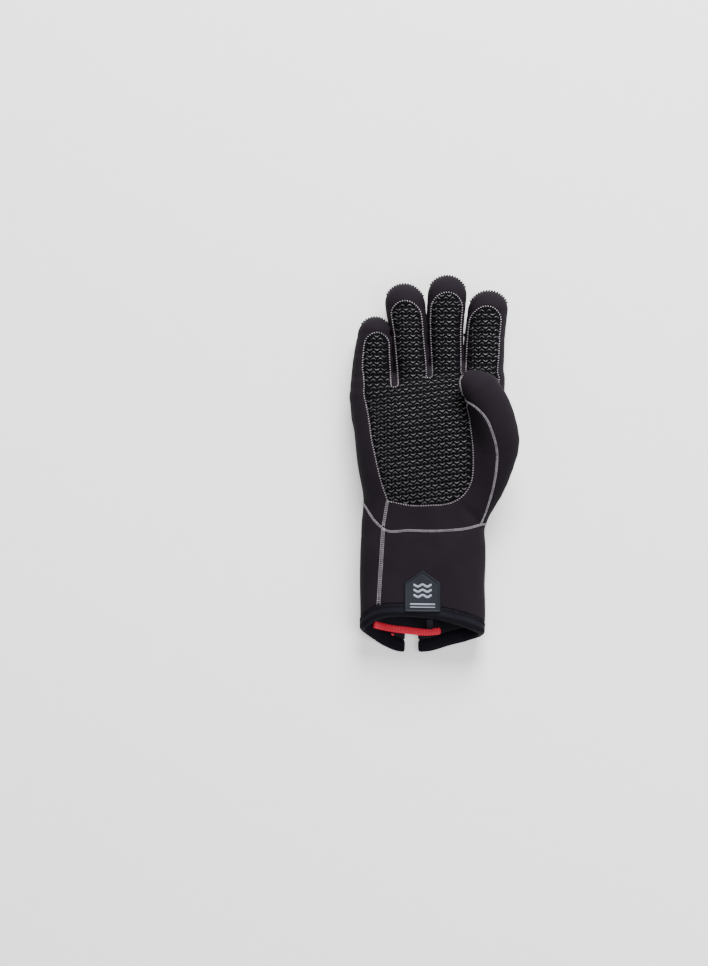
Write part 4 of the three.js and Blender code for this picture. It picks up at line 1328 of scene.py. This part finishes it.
@dataclass
class Seams:
    """The flat seams: a ladder of light thread across each join, and dark thread over the fingertips' seam."""

    form: GloveForm
    narrow: float = 1.3
    width: float = 1.5
    wide: float = 2.6
    pitch: float = 1.7
    bead_pitch: float = 2.0
    bead_thread: float = 0.4
    lean: float = 0.55
    thread: float = 0.34
    edge_thread: float = 0.14
    height: float = 0.4
    tip_width: float = 3.6
    tip_pitch: float = 2.2
    tip_thread: float = 0.85
    tip_height: float = 0.4
    tip_rise: float = 1.6
    side_start: float = 22.4

    def meet(self, first: Measure, second: Measure, points: Array, rounds: int = 6) -> Array:
        """Moves points onto the line where two fields are both zero, by least steps that clear both.

        Args:
            first: one field.
            second: the other field.
            points: near that line.
            rounds: how many steps.

        Returns:
            The moved points.
        """
        moved = points.copy()
        for _ in range(rounds):
            f, df = slope_of(first, moved)
            g, dg = slope_of(second, moved)
            a, b, c = np.sum(df * df, 1) + 1e-3, np.sum(df * dg, 1), np.sum(dg * dg, 1) + 1e-3
            det = np.maximum(a * c - b * b, 0.02)
            step_f = (c * f - b * g) / det
            step_g = (a * g - b * f) / det
            move = df * step_f[:, None] + dg * step_g[:, None]
            size = np.linalg.norm(move, axis=1, keepdims=True)
            moved -= move * np.minimum(1, 2.0 / np.maximum(size, 1e-9))
        return moved

    def even(self, points: Array, measure: Measure, spacing: float = 1.0) -> Path:
        """A smooth, evenly spaced path on a field from rough points."""
        for _ in range(2):
            points[1:-1] = 0.25 * points[:-2] + 0.5 * points[1:-1] + 0.25 * points[2:]
        runs = arc_lengths(points)
        at = np.linspace(0, runs[-1], max(int(runs[-1] / spacing), 4))
        even = np.stack([np.interp(at, runs, points[:, k]) for k in range(3)], axis=1)
        settled, normals = settle(measure, even, rounds=3)
        return Path(settled, normals)

    def grip_outline(self) -> Path:
        """The grip's edge, from the index finger's outer side round the heel to the same place.

        The rough line goes up and down each finger's stripe and round the palm's edge curves. It is then moved
        onto the line where the outside and the grip's field are both zero.
        """
        form = self.form
        stripes = [self.stripe(finger) for finger in FINGERS]
        top_x, top_y = form.seam_places(GRIP_TOP)
        rough = []
        for k in range(len(FINGERS) - 1, -1, -1):
            right_foot = top_y[k + 1] + 3 if k < len(FINGERS) - 1 else 52.0
            left_foot = top_y[k] + 3 if k > 0 else top_y[1]
            stripe = stripes[k]
            peak = int(np.argmax(stripe[:, 1]))
            up, down = stripe[:peak], stripe[peak:]
            rough.append(np.concatenate([up[up[:, 1] > right_foot], down[down[:, 1] > left_foot]]))
            if k > 0:
                left_end = rough[-1][-1]
                other = stripes[k - 1]
                right_end = other[: int(np.argmax(other[:, 1]))]
                right_end = right_end[right_end[:, 1] > left_foot][0]
                turn = np.linspace(0, math.pi, 11)[1:-1]
                middle, half = (left_end + right_end) / 2, (left_end[0] - right_end[0]) / 2
                rough.append(np.stack([middle[0] + half * np.cos(turn), middle[1] - 3 * np.sin(turn)], axis=1))
        left_x, left_y = form.seam_places(GRIP_LEFT)
        y = np.linspace(left_y[5] - 4, left_y[1], 60)
        rough.append(np.stack([curve_through(left_y, left_x, y), y], axis=1))
        low_x, low_y = form.seam_places(GRIP_BOTTOM)
        x = np.linspace(low_x[1], form.hand_x + 0.16 * form.hand_width, 34)[1:]
        rough.append(np.stack([x, curve_through(low_x, low_y, x)], axis=1))
        right_x, right_y = form.seam_places(GRIP_RIGHT)
        y = np.linspace(right_y[1] - 8, right_y[4] + 0.3, 60)
        rough.append(np.stack([curve_through(right_y, right_x, y), y], axis=1))
        flat = np.concatenate(rough)
        runs = arc_lengths(flat)
        at = np.arange(0, runs[-1], 0.9)
        x, y = np.interp(at, runs, flat[:, 0]), np.interp(at, runs, flat[:, 1])
        surface = form.grip_surface
        points, _ = drop_onto(surface, x, y, 44.0)
        return self.even(self.meet(surface, lambda a, b, c: form.read(a, b, c).grip, points), surface)

    def stripe(self, finger: Finger) -> Array:
        """A finger's part of the grip's edge from above: up the right side, round the end and down the left."""
        form = self.form
        root, reach, dome = form.finger_run(finger)
        middle = (finger.grip_left + finger.grip_right) / 2
        half = (finger.grip_right - finger.grip_left) / 2
        start = finger.grip_end - half * dome / reach
        up = np.linspace(0.12, start, 40)
        turn = np.linspace(0, math.pi, 22)
        share = np.concatenate([up, start + (finger.grip_end - start) * np.sin(turn), up[::-1]])
        level = np.zeros(len(up))
        across = middle + half * np.concatenate([level + 1, np.cos(turn), level - 1])
        x = form.finger_middle(finger, share) + across * form.finger_half(finger, share)
        return np.stack([x, root + share * reach], axis=1)

    def over_palm(self, x: Array, y: Array, measure: Measure, start: float = 50.0) -> Path:
        """A seam given from above, dropped onto a field."""
        points, _ = drop_onto(measure, x, y, start)
        return self.even(points, measure)

    def wrist(self) -> Path:
        """The seam between hand and cuff, all the way round: where the outside meets the wrist's edge."""
        form = self.form
        angle = np.linspace(-math.pi, math.pi, 260) + 0.4
        share, up = np.cos(angle), np.sin(angle)
        points = np.stack([form.hand_x - 3 + 49 * share, form.wrist_line(share, up), 18 + 19 * up], axis=1)
        points = self.meet(form.outside, lambda a, b, c: form.read(a, b, c).hand_side, points, rounds=9)
        return self.even(points, form.outside)

    def finger_edge(self, finger: Finger) -> Path:
        """The dark seam over a fingertip, a little above its widest line, from one side to the other."""
        form = self.form
        root, reach, dome = form.finger_run(finger)
        turn = np.linspace(math.radians(22), math.radians(158), 80)
        share = 1 - dome / reach + dome / reach * np.sin(turn)
        x = form.finger_middle(finger, share) + np.cos(turn) * form.finger_half(finger, share)
        points = np.stack([x, root + share * reach, form.finger_level(share) + self.tip_rise], axis=1)
        settled, _ = settle(form.outside, points, rounds=5, most=3.0)
        return self.even(settled, form.outside)

    def side(self) -> Path:
        """The side seam along the thumb's side of the glove, from the hem to the index finger's root."""
        form = self.form
        y = np.linspace(form.hem_y + self.side_start, form.palm_side_y, 190)
        stations, _, rights, _, _ = form.body_rows().T
        points = np.stack([curve_through(stations, rights, y) + 1, y, np.full(len(y), form.side_seam)], axis=1)
        points = self.meet(form.outside, lambda a, b, c: c - form.side_seam + 0 * a, points, rounds=9)
        return self.even(points, form.outside)

    def ladder(self, path: Path, width: float, pitch: float, thread: float, height: float,
               edges: bool = True) -> list[tuple[Array, Array]]:
        """Thread along a path: slanted rungs, each a short arch from edge to edge, and thread along the edges.

        A rung goes across the width while it moves on by its lean, and its height is a flat arch.

        Args:
            path: where the seam runs.
            width: across the seam.
            pitch: between rungs.
            thread: the thread's radius.
            height: how high the arch stands.
            edges: whether running thread lies along both edges.

        Returns:
            Vertices and triangles of each part.
        """
        count = max(int(path.length / pitch), 2)
        starts = np.arange(count) * pitch
        share = np.linspace(0, 1, 4)
        distance = starts[:, None] + share * pitch * self.lean
        base, side, out = path.at(distance)
        across = np.broadcast_to((share - 0.5) * width, distance.shape)
        arch = height * (1 - (2 * share - 1) ** 4) - 0.1
        centres = base + side * across[..., None] + out * arch[None, :, None]
        made = [threads(centres, out, (thread, thread))]
        steps = np.linspace(0, path.length, max(int(path.length / (pitch * 0.5)), 4))
        base, side, out = path.at(steps)
        for edge in (-0.5, 0.5) if edges else ():
            wave = 0.1 * np.sin(steps / pitch * 2 * math.pi) + height * 0.4
            centres = (base + side * (edge * width) + out * wave[:, None])[None]
            made.append(tubes(centres, side[None], out[None], (self.edge_thread, self.edge_thread), 5))
        return made

    def build(self) -> None:
        """Finds every seam, lays its thread and makes the light and the dark pieces."""
        form = self.form
        fork = form.wrist_y - 3.0
        palm_y = np.linspace(form.heel_y, fork, 30)
        cuff_y = np.linspace(fork, form.hem_y + form.cuff_point + 6.8, 80)
        seam_x, seam_y = form.seam_places(THUMB_SEAM)
        thumb_y = np.linspace(form.wrist_y + 0.5, seam_y[-1], 170)
        light = (
            (self.over_palm(form.palm_seam_x(palm_y), palm_y, form.outside), self.wide * 0.75),
            (self.over_palm(form.cuff_seam_x(cuff_y), cuff_y, form.outside), self.wide),
            (self.over_palm(curve_through(seam_y, seam_x, thumb_y), thumb_y, form.outside, 64.0), self.width),
            (self.wrist(), self.width),
            (self.side(), self.width),
        )
        made = []
        for path, width in light:
            made += self.ladder(path, width, self.pitch, self.thread, self.height)
        made += self.ladder(self.grip_outline(), self.narrow, self.bead_pitch, self.bead_thread, self.height, False)
        self.join("seam_thread", made, THREAD, "foam_cloth")
        made = []
        for finger in FINGERS:
            path = self.finger_edge(finger)
            made += self.ladder(path, self.tip_width, self.tip_pitch, self.tip_thread, self.tip_height, False)
        self.join("fingertip_thread", made, DARK_THREAD, "foam_cloth")

    @staticmethod
    def join(name: str, made: list[tuple[Array, Array]], finish: Finish, slot: str) -> None:
        """Makes one piece of many parts."""
        offset = 0
        vertices, faces = [], []
        for points, quads in made:
            vertices.append(points)
            faces.append(quads + offset)
            offset += len(points)
        make_piece(name, np.concatenate(vertices), np.concatenate(faces), [finish.build()])


@dataclass
class CuffTrim:
    """What sits on and in the cuff: the badge, the zip, the flap behind it, its red binding and the tab."""

    form: GloveForm
    badge_width: float = 29.0
    badge_height: float = 34.3
    badge_peak: float = 10.4
    badge_above_hem: float = 3.9
    badge_thickness: float = 1.4
    badge_foot: float = 0.3
    mark_height: float = 0.42
    red_width: float = 5.9
    red_thickness: float = 3.0
    red_thread: float = 0.3
    red_pitch: float = 1.25
    tack_length: float = 2.6
    tack_size: float = 0.65
    tack_across: float = -0.24
    tack_up: float = 0.53
    flap_thickness: float = 2.0
    flap_height: float = 0.45
    tab_width: float = 5.0
    tab_thickness: float = 1.2
    tab_across: float = 0.06
    tape_height: float = 2.1
    tape_thickness: float = 2.2
    tooth_pitch: float = 1.5
    hem_pitch: float = 1.7
    hem_thread: float = 0.24
    hem_line_low: float = 2.2
    hem_line_high: float = 8.2
    hem_line_inside: float = 7.6
    flap_across: tuple[float, ...] = (-0.396, -0.243, -0.13, 0.02, 0.153)
    flap_up: tuple[float, ...] = (0.83, 0.715, 0.66, 0.6, 0.64)

    def flap_line(self, count: int) -> tuple[Array, Array]:
        """Places of the flap's edge, cubic through its table."""
        share = np.linspace(0, 1, count)
        stations = np.linspace(0, 1, len(self.flap_across))
        x = self.form.cuff_x + curve_through(stations, self.flap_across, share) * self.form.cuff_width
        y = self.form.hem_y + curve_through(stations, self.flap_up, share) * self.form.cuff_point
        return x, y

    def inner_floor(self, x: Array, y: Array) -> Array:
        """The height of the lining under a place in the cuff: where the bare distance is one wall in."""
        points = np.stack([x, y, np.full(x.shape, 8.0)], axis=1)

        def inside(a: Array, b: Array, c: Array) -> Array:
            """Height over the lining."""
            return -(self.form.read(a, b, c).bare + self.form.wall)

        for _ in range(8):
            value, slope = slope_of(inside, points)
            points[:, 2] -= np.clip(value / np.maximum(0.25, np.abs(slope[:, 2])), -3, 3)
        return np.maximum(points[:, 2], self.form.wall)

    def badge_grid(self, across: Array, up: Array) -> tuple[Array, Array]:
        """Places on the badge from shares across and up: the width falls from the shoulders to the peak."""
        low = self.form.hem_y + self.hem_share() * self.form.cuff_point + self.badge_above_hem
        y = low + up * self.badge_height
        shoulder = 1 - self.badge_peak / self.badge_height
        half = self.badge_width / 2 * np.clip((1 - up) / (1 - shoulder), 0.02, 1)
        return self.form.cuff_x + across * half, y + 0 * across

    def hem_share(self) -> float:
        """The palm side's hem over the badge, as a share of the cuff's point."""
        return float(np.interp(0, [row.across for row in HEM_EDGE], [row.palm for row in HEM_EDGE]))

    def badge(self) -> None:
        """The badge: a five-sided plate that follows the cuff, with a raised rim, a sunk line and a plain field.

        Its height is the thickness, plus a rim of 0.5 mm inside the edge, less a groove beyond it.
        """
        rows, columns = 61, 45
        up, across = np.meshgrid(np.linspace(0, 1, rows), np.linspace(-1, 1, columns), indexing="ij")
        x, y = self.badge_grid(across, up)
        half = self.badge_width / 2
        slope = half / self.badge_peak
        low, high = y.min(), y.max()
        from_side = half - np.abs(x - self.form.cuff_x)
        from_roof = ((high - y) * slope - np.abs(x - self.form.cuff_x)) / math.hypot(1, slope)
        depth = np.minimum(np.minimum(from_side, y - low), from_roof)
        rim = 0.45 * np.exp(-(((depth - 0.9) / 0.5) ** 2)) - 0.25 * np.exp(-(((depth - 2.3) / 0.3) ** 2))
        crown = self.badge_thickness * (1 - np.exp(-(np.maximum(depth, 0) / 0.35)))
        points, normals = drop_onto(self.form.outside, x.ravel(), y.ravel(), 40.0)
        top = points + normals * (0.1 + crown + rim).ravel()[:, None]
        bottom = points - normals * self.badge_foot
        make_piece("badge_plate", np.concatenate([top, bottom]), sheet_faces(rows, columns), [BADGE.build()],
                   ("cuff_badge",))
        self.badge_marks(low)

    def badge_marks(self, low: float) -> None:
        """Three plain waves over two plain bars, raised on the badge's field in place of its printed marks."""
        share = np.linspace(-1, 1, 41)
        lines = [(share * 7.4, low + 13.2 + 4.2 * k + 0.85 * np.cos(share * math.pi * 2), 1.0) for k in range(3)]
        lines += [(share * 10.2, np.full(41, low + 6.6), 0.7), (share * 10.2, np.full(41, low + 4.2), 0.45)]
        made = []
        for x, y, radius in lines:
            points, normals = drop_onto(self.form.outside, self.form.cuff_x + x, y, 40.0)
            centres = points + normals * (self.badge_thickness + 0.05)
            made.append(threads(centres[None], normals[None], (radius, self.mark_height), 8))
        Seams.join("badge_waves", made, BADGE_MARK, "badge_rubber")

    @staticmethod
    def squared(angle: Array) -> tuple[Array, Array]:
        """The sideways and upward place of a rounded oblong ring at angles: cosine and sine to the power 2/3."""
        cos, sin = np.cos(angle), np.sin(angle)
        return np.sign(cos) * np.abs(cos) ** (2 / 3), np.sign(sin) * np.abs(sin) ** (2 / 3)

    def red(self) -> None:
        """The red binding: a squared tube along the flap's edge, ribbed across, with thread over its ribs."""
        count, around = 120, 16
        x, y = self.flap_line(count)
        floor = self.inner_floor(x, y)
        centres = np.stack([x, y, floor + 0.4 + self.red_thickness / 2], axis=1)
        ahead = unit(np.gradient(centres, axis=0))
        lift = np.broadcast_to([0.0, -0.25, 0.97], centres.shape)
        side = unit(np.cross(ahead, lift))
        runs = arc_lengths(centres)
        ends = np.clip(np.minimum(runs, runs[-1] - runs) / 2.4, 0.0, 1.0)
        taper = np.sqrt(np.maximum(1 - (1 - ends) ** 2, 0.0004))
        rib = 1 + 0.07 * np.sin(runs * 2 * math.pi / 1.7)
        cos, sin = self.squared(2 * math.pi * (np.arange(around) + 0.5) / around)
        wide = (self.red_width / 2 * taper)[:, None, None]
        tall = (self.red_thickness / 2 * taper * rib)[:, None, None]
        ring = centres[:, None] + wide * cos[:, None] * side[:, None] + tall * sin[:, None] * lift[:, None]
        make_piece("red_binding", ring.reshape(-1, 3), tube_faces(count, around), [RED.build()],
                   ("gusset_binding",))
        steps = np.arange(1.8, runs[-1] - 1.8, self.red_pitch)
        place = [np.stack([np.interp(steps, runs, source[:, k]) for k in range(3)], axis=1)[:, None]
                 for source in (centres, side, lift)]
        cos, sin = self.squared(np.radians([168.0, 140.0, 110.0, 90.0, 70.0, 40.0, 12.0])[:, None])
        wide, tall = cos * self.red_width / 2, sin * self.red_thickness / 2
        rungs = place[0] + place[1] * wide + place[2] * (tall + 0.12)
        out = unit(place[1] * wide / self.red_width + place[2] * tall / self.red_thickness)
        made = [threads(rungs, out, (self.red_thread, self.red_thread)), self.tack()]
        Seams.join("red_binding_thread", made, RED_THREAD, "red_cloth")

    def tack(self) -> tuple[Array, Array]:
        """The small red tack on the lining below the binding: a short bowed tube just over the back's hem."""
        run = np.linspace(-0.5, 0.5, 7)
        x = self.form.cuff_x + self.tack_across * self.form.cuff_width + run * self.tack_length
        y = self.form.hem_y + self.tack_up * self.form.cuff_point - run * 1.2
        floor = self.inner_floor(x, y) + self.form.binding_proud
        centres = np.stack([x, y, floor + 0.3 + 0.5 * np.cos(run * math.pi)], axis=1)
        return threads(centres[None], UP, (self.tack_size, self.tack_size), 8)

    def flap(self) -> None:
        """The flap behind the slit: a thick sheet from the red binding to the slit's top, just over the lining.

        A point is the mix of the edge line and the peak by its share up, and its height is the inner floor there
        and a slow swell.
        """
        rows, columns = 26, 31
        edge_x, edge_y = self.flap_line(columns)
        share = np.linspace(0, 1, rows)[:, None]
        x = edge_x * (1 - share) + (self.form.slit_x + np.linspace(-4, 4, columns)) * share
        y = (edge_y + self.red_width / 2 - 0.8) * (1 - share) + self.form.slit_top * share
        floor = self.inner_floor(x.ravel(), y.ravel()).reshape(x.shape)
        swell = 0.5 * np.sin(share * math.pi) * (1 + np.sin(np.linspace(0, 9, columns)))
        base = np.stack([x, y, floor + self.flap_height + swell], axis=-1).reshape(-1, 3)
        top = base + self.flap_thickness * UP
        piece = make_piece("gusset_flap", np.concatenate([top, base]), sheet_faces(rows, columns),
                           [LINING.build()], ("zip_gusset",))

    def tab(self) -> None:
        """The tab: a thin strip from inside the palm side's hem down to just over the red binding."""
        low, high = (np.array(corner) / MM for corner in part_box("inner_tab"))
        share = np.linspace(0, 1, 24)
        x = np.full(len(share), self.form.cuff_x + self.tab_across * self.form.cuff_width)
        y = low[1] + 0.7 + (high[1] - low[1] - 1.4) * share**0.8
        z = low[2] + (high[2] - low[2]) * share
        centres = np.stack([x, y, z], axis=1)[None]
        lift = unit(np.cross(ACROSS, unit(np.gradient(centres, axis=1))))
        vertices, faces = tubes(centres, ACROSS, lift, (self.tab_width / 2, self.tab_thickness / 2), 12)
        make_piece("hem_tab", vertices, faces, [BINDING.build()], ("inner_tab",))

    def zip(self) -> None:
        """The closed zip: a flat tape in the slit with a row of interlocked teeth down both its faces."""
        low = self.form.hem_y + self.form.notch_depth + 0.3
        high = self.form.slit_top - 0.3
        x = self.form.slit_x
        centres = np.stack([np.full(30, x), np.linspace(low, high, 30), np.full(30, self.tape_height)], axis=1)
        size = (self.form.zip_width / 2 + 0.3, self.tape_thickness / 2)
        vertices, faces = tubes(centres[None], ACROSS, UP, size, 12)
        make_piece("zip_tape", vertices, faces, [BINDING.build()], ("back_zip",))
        count = int((high - low - 2) / self.tooth_pitch)
        y = low + 1.5 + np.arange(count) * self.tooth_pitch
        flip = np.where(np.arange(count) % 2 == 0, 1.0, -1.0)
        share = np.linspace(-1, 1, 4)
        made = []
        for level in (1.25, 3.0):
            tooth = np.stack([
                x + flip[:, None] * 0.8 + share * 1.5, np.broadcast_to(y[:, None], (count, 4)),
                np.full((count, 4), level),
            ], axis=-1)
            made.append(tubes(tooth, np.cross(ACROSS, UP), UP, (0.55, 0.45), 8))
        Seams.join("zip_row", made, ZIP, "zip_plastic")

    def hem_stitches(self) -> None:
        """Dark ladders of thread along the binding, outside on the palm side and inside on the back."""
        form = self.form
        made = []
        seams = Seams(form)
        size = (self.hem_pitch, self.hem_pitch, self.hem_thread, self.hem_thread)
        for offset in (self.hem_line_low, self.hem_line_high):
            angle = np.linspace(math.radians(8), math.radians(172), 170)
            share, up = np.cos(angle), np.sin(angle)
            y = form.hem_line(share, up) + offset
            points = np.stack([form.cuff_x + 49 * share, y, 17 + 18 * up], axis=1)

            def beside(a: Array, b: Array, c: Array, shift: float = offset) -> Array:
                """How far from the line beside the hem."""
                return form.read(a, b, c).above_hem + shift

            def band(a: Array, b: Array, c: Array) -> Array:
                """The binding's outside."""
                return form.read(a, b, c).outside - form.binding_proud

            points = seams.meet(band, beside, points, rounds=9)
            made += seams.ladder(seams.even(points, band), *size)

        def inner(a: Array, b: Array, c: Array) -> Array:
            """The binding's face inside the mouth."""
            return -(form.read(a, b, c).bare + form.wall + form.binding_proud)

        def inner_line(a: Array, b: Array, c: Array) -> Array:
            """How far from the stitches inside."""
            return form.read(a, b, c).above_hem + self.hem_line_inside

        notch = (form.slit_x - form.cuff_x) / (form.cuff_width / 2)
        for first, last in ((-0.82, notch - 0.16), (notch + 0.16, 0.86)):
            share = np.linspace(first, last, 90)
            y = form.hem_line(share, -np.ones(90)) + self.hem_line_inside
            points = np.stack([form.cuff_x + 46 * share, y, np.full(90, 6.0)], axis=1)
            points = seams.meet(inner, inner_line, points, rounds=9)
            made += seams.ladder(seams.even(points, inner), *size)
        Seams.join("hem_thread", made, DARK_THREAD, "binding_cloth")

    def build(self) -> None:
        """Builds every piece of the cuff's trim."""
        self.badge()
        self.red()
        self.flap()
        self.tab()
        self.zip()
        self.hem_stitches()


@dataclass
class Studio:
    """The pale floor, soft lights and the camera at the photograph's angle."""

    elevation: float = 80.0
    distance: float = 6000.0
    scale: float = 0.8
    target: tuple[float, float, float] = (-64.7, -17.9, 20.0)

    def floor(self) -> None:
        """A large pale floor just under the glove."""
        far, low = 4000, -0.2
        corners = np.array([[-far, -far, low], [far, -far, low], [far, far, low], [-far, far, low]])
        mesh = bpy.data.meshes.new("floor")
        mesh.from_pydata((corners * MM).tolist(), [], [(0, 1, 2, 3)])
        finish = Finish("floor_paper", (0.88, 0.88, 0.88), (0.9, 0.9, 0.9), roughness=0.9, specular=0.1,
                        bump_strength=0.0, glow=0.5)
        mesh.materials.append(finish.build())
        plane = bpy.data.objects.new("floor", mesh)
        bpy.context.scene.collection.objects.link(plane)

    def light(self, name: str, place: tuple[float, float, float], size: float, power: float) -> None:
        """A square soft light that looks at the glove.

        Args:
            name: the light's name.
            place: where it stands, in metres.
            size: its side, in metres.
            power: in watts.
        """
        lamp = bpy.data.lights.new(name, "AREA")
        lamp.shape = "SQUARE"
        lamp.size = size
        lamp.energy = power
        lit = bpy.data.objects.new(name, lamp)
        bpy.context.scene.collection.objects.link(lit)
        lit.location = place
        heading = -np.array(place)
        flat = math.hypot(heading[0], heading[1])
        lit.rotation_euler = (math.atan2(flat, -heading[2]), 0, math.atan2(heading[1], heading[0]) - math.pi / 2)

    def camera(self) -> None:
        """A long lens at the photograph's angle, framed so that the glove lies where the photograph has it."""
        angle = math.radians(self.elevation)
        lens = bpy.data.cameras.new("camera")
        lens.sensor_width = 36.0
        lens.lens = 36.0 * self.distance / (PHOTO_SIZE[1] * self.scale)
        lens.clip_end = 20.0
        eye = bpy.data.objects.new("camera", lens)
        bpy.context.scene.collection.objects.link(eye)
        offset = np.array([0, -math.cos(angle), math.sin(angle)]) * self.distance
        eye.location = (np.array(self.target) + offset) * MM
        eye.rotation_euler = (math.pi / 2 - angle, 0, 0)
        bpy.context.scene.camera = eye

    def build(self) -> None:
        """Builds the whole studio."""
        self.floor()
        world = bpy.data.worlds.new("studio")
        world.use_nodes = True
        sky = world.node_tree.nodes["Background"].inputs
        sky["Color"].default_value = (1, 1, 1, 1)
        sky["Strength"].default_value = 0.5
        bpy.context.scene.world = world
        self.light("key", (0.35, 1.75, 1.5), 1.3, 140)
        self.light("fill", (1.3, -0.5, 1.5), 1.2, 22)
        self.camera()


def main() -> None:
    """Builds the glove's pieces and the studio, in order."""
    logging.basicConfig(level=logging.INFO, format="%(message)s")
    form = GloveForm()
    Studio().build()
    FoamPanels(form).build()
    GripPrint(form).build()
    Seams(form).build()
    CuffTrim(form).build()


if __name__ == "__main__":
    main()
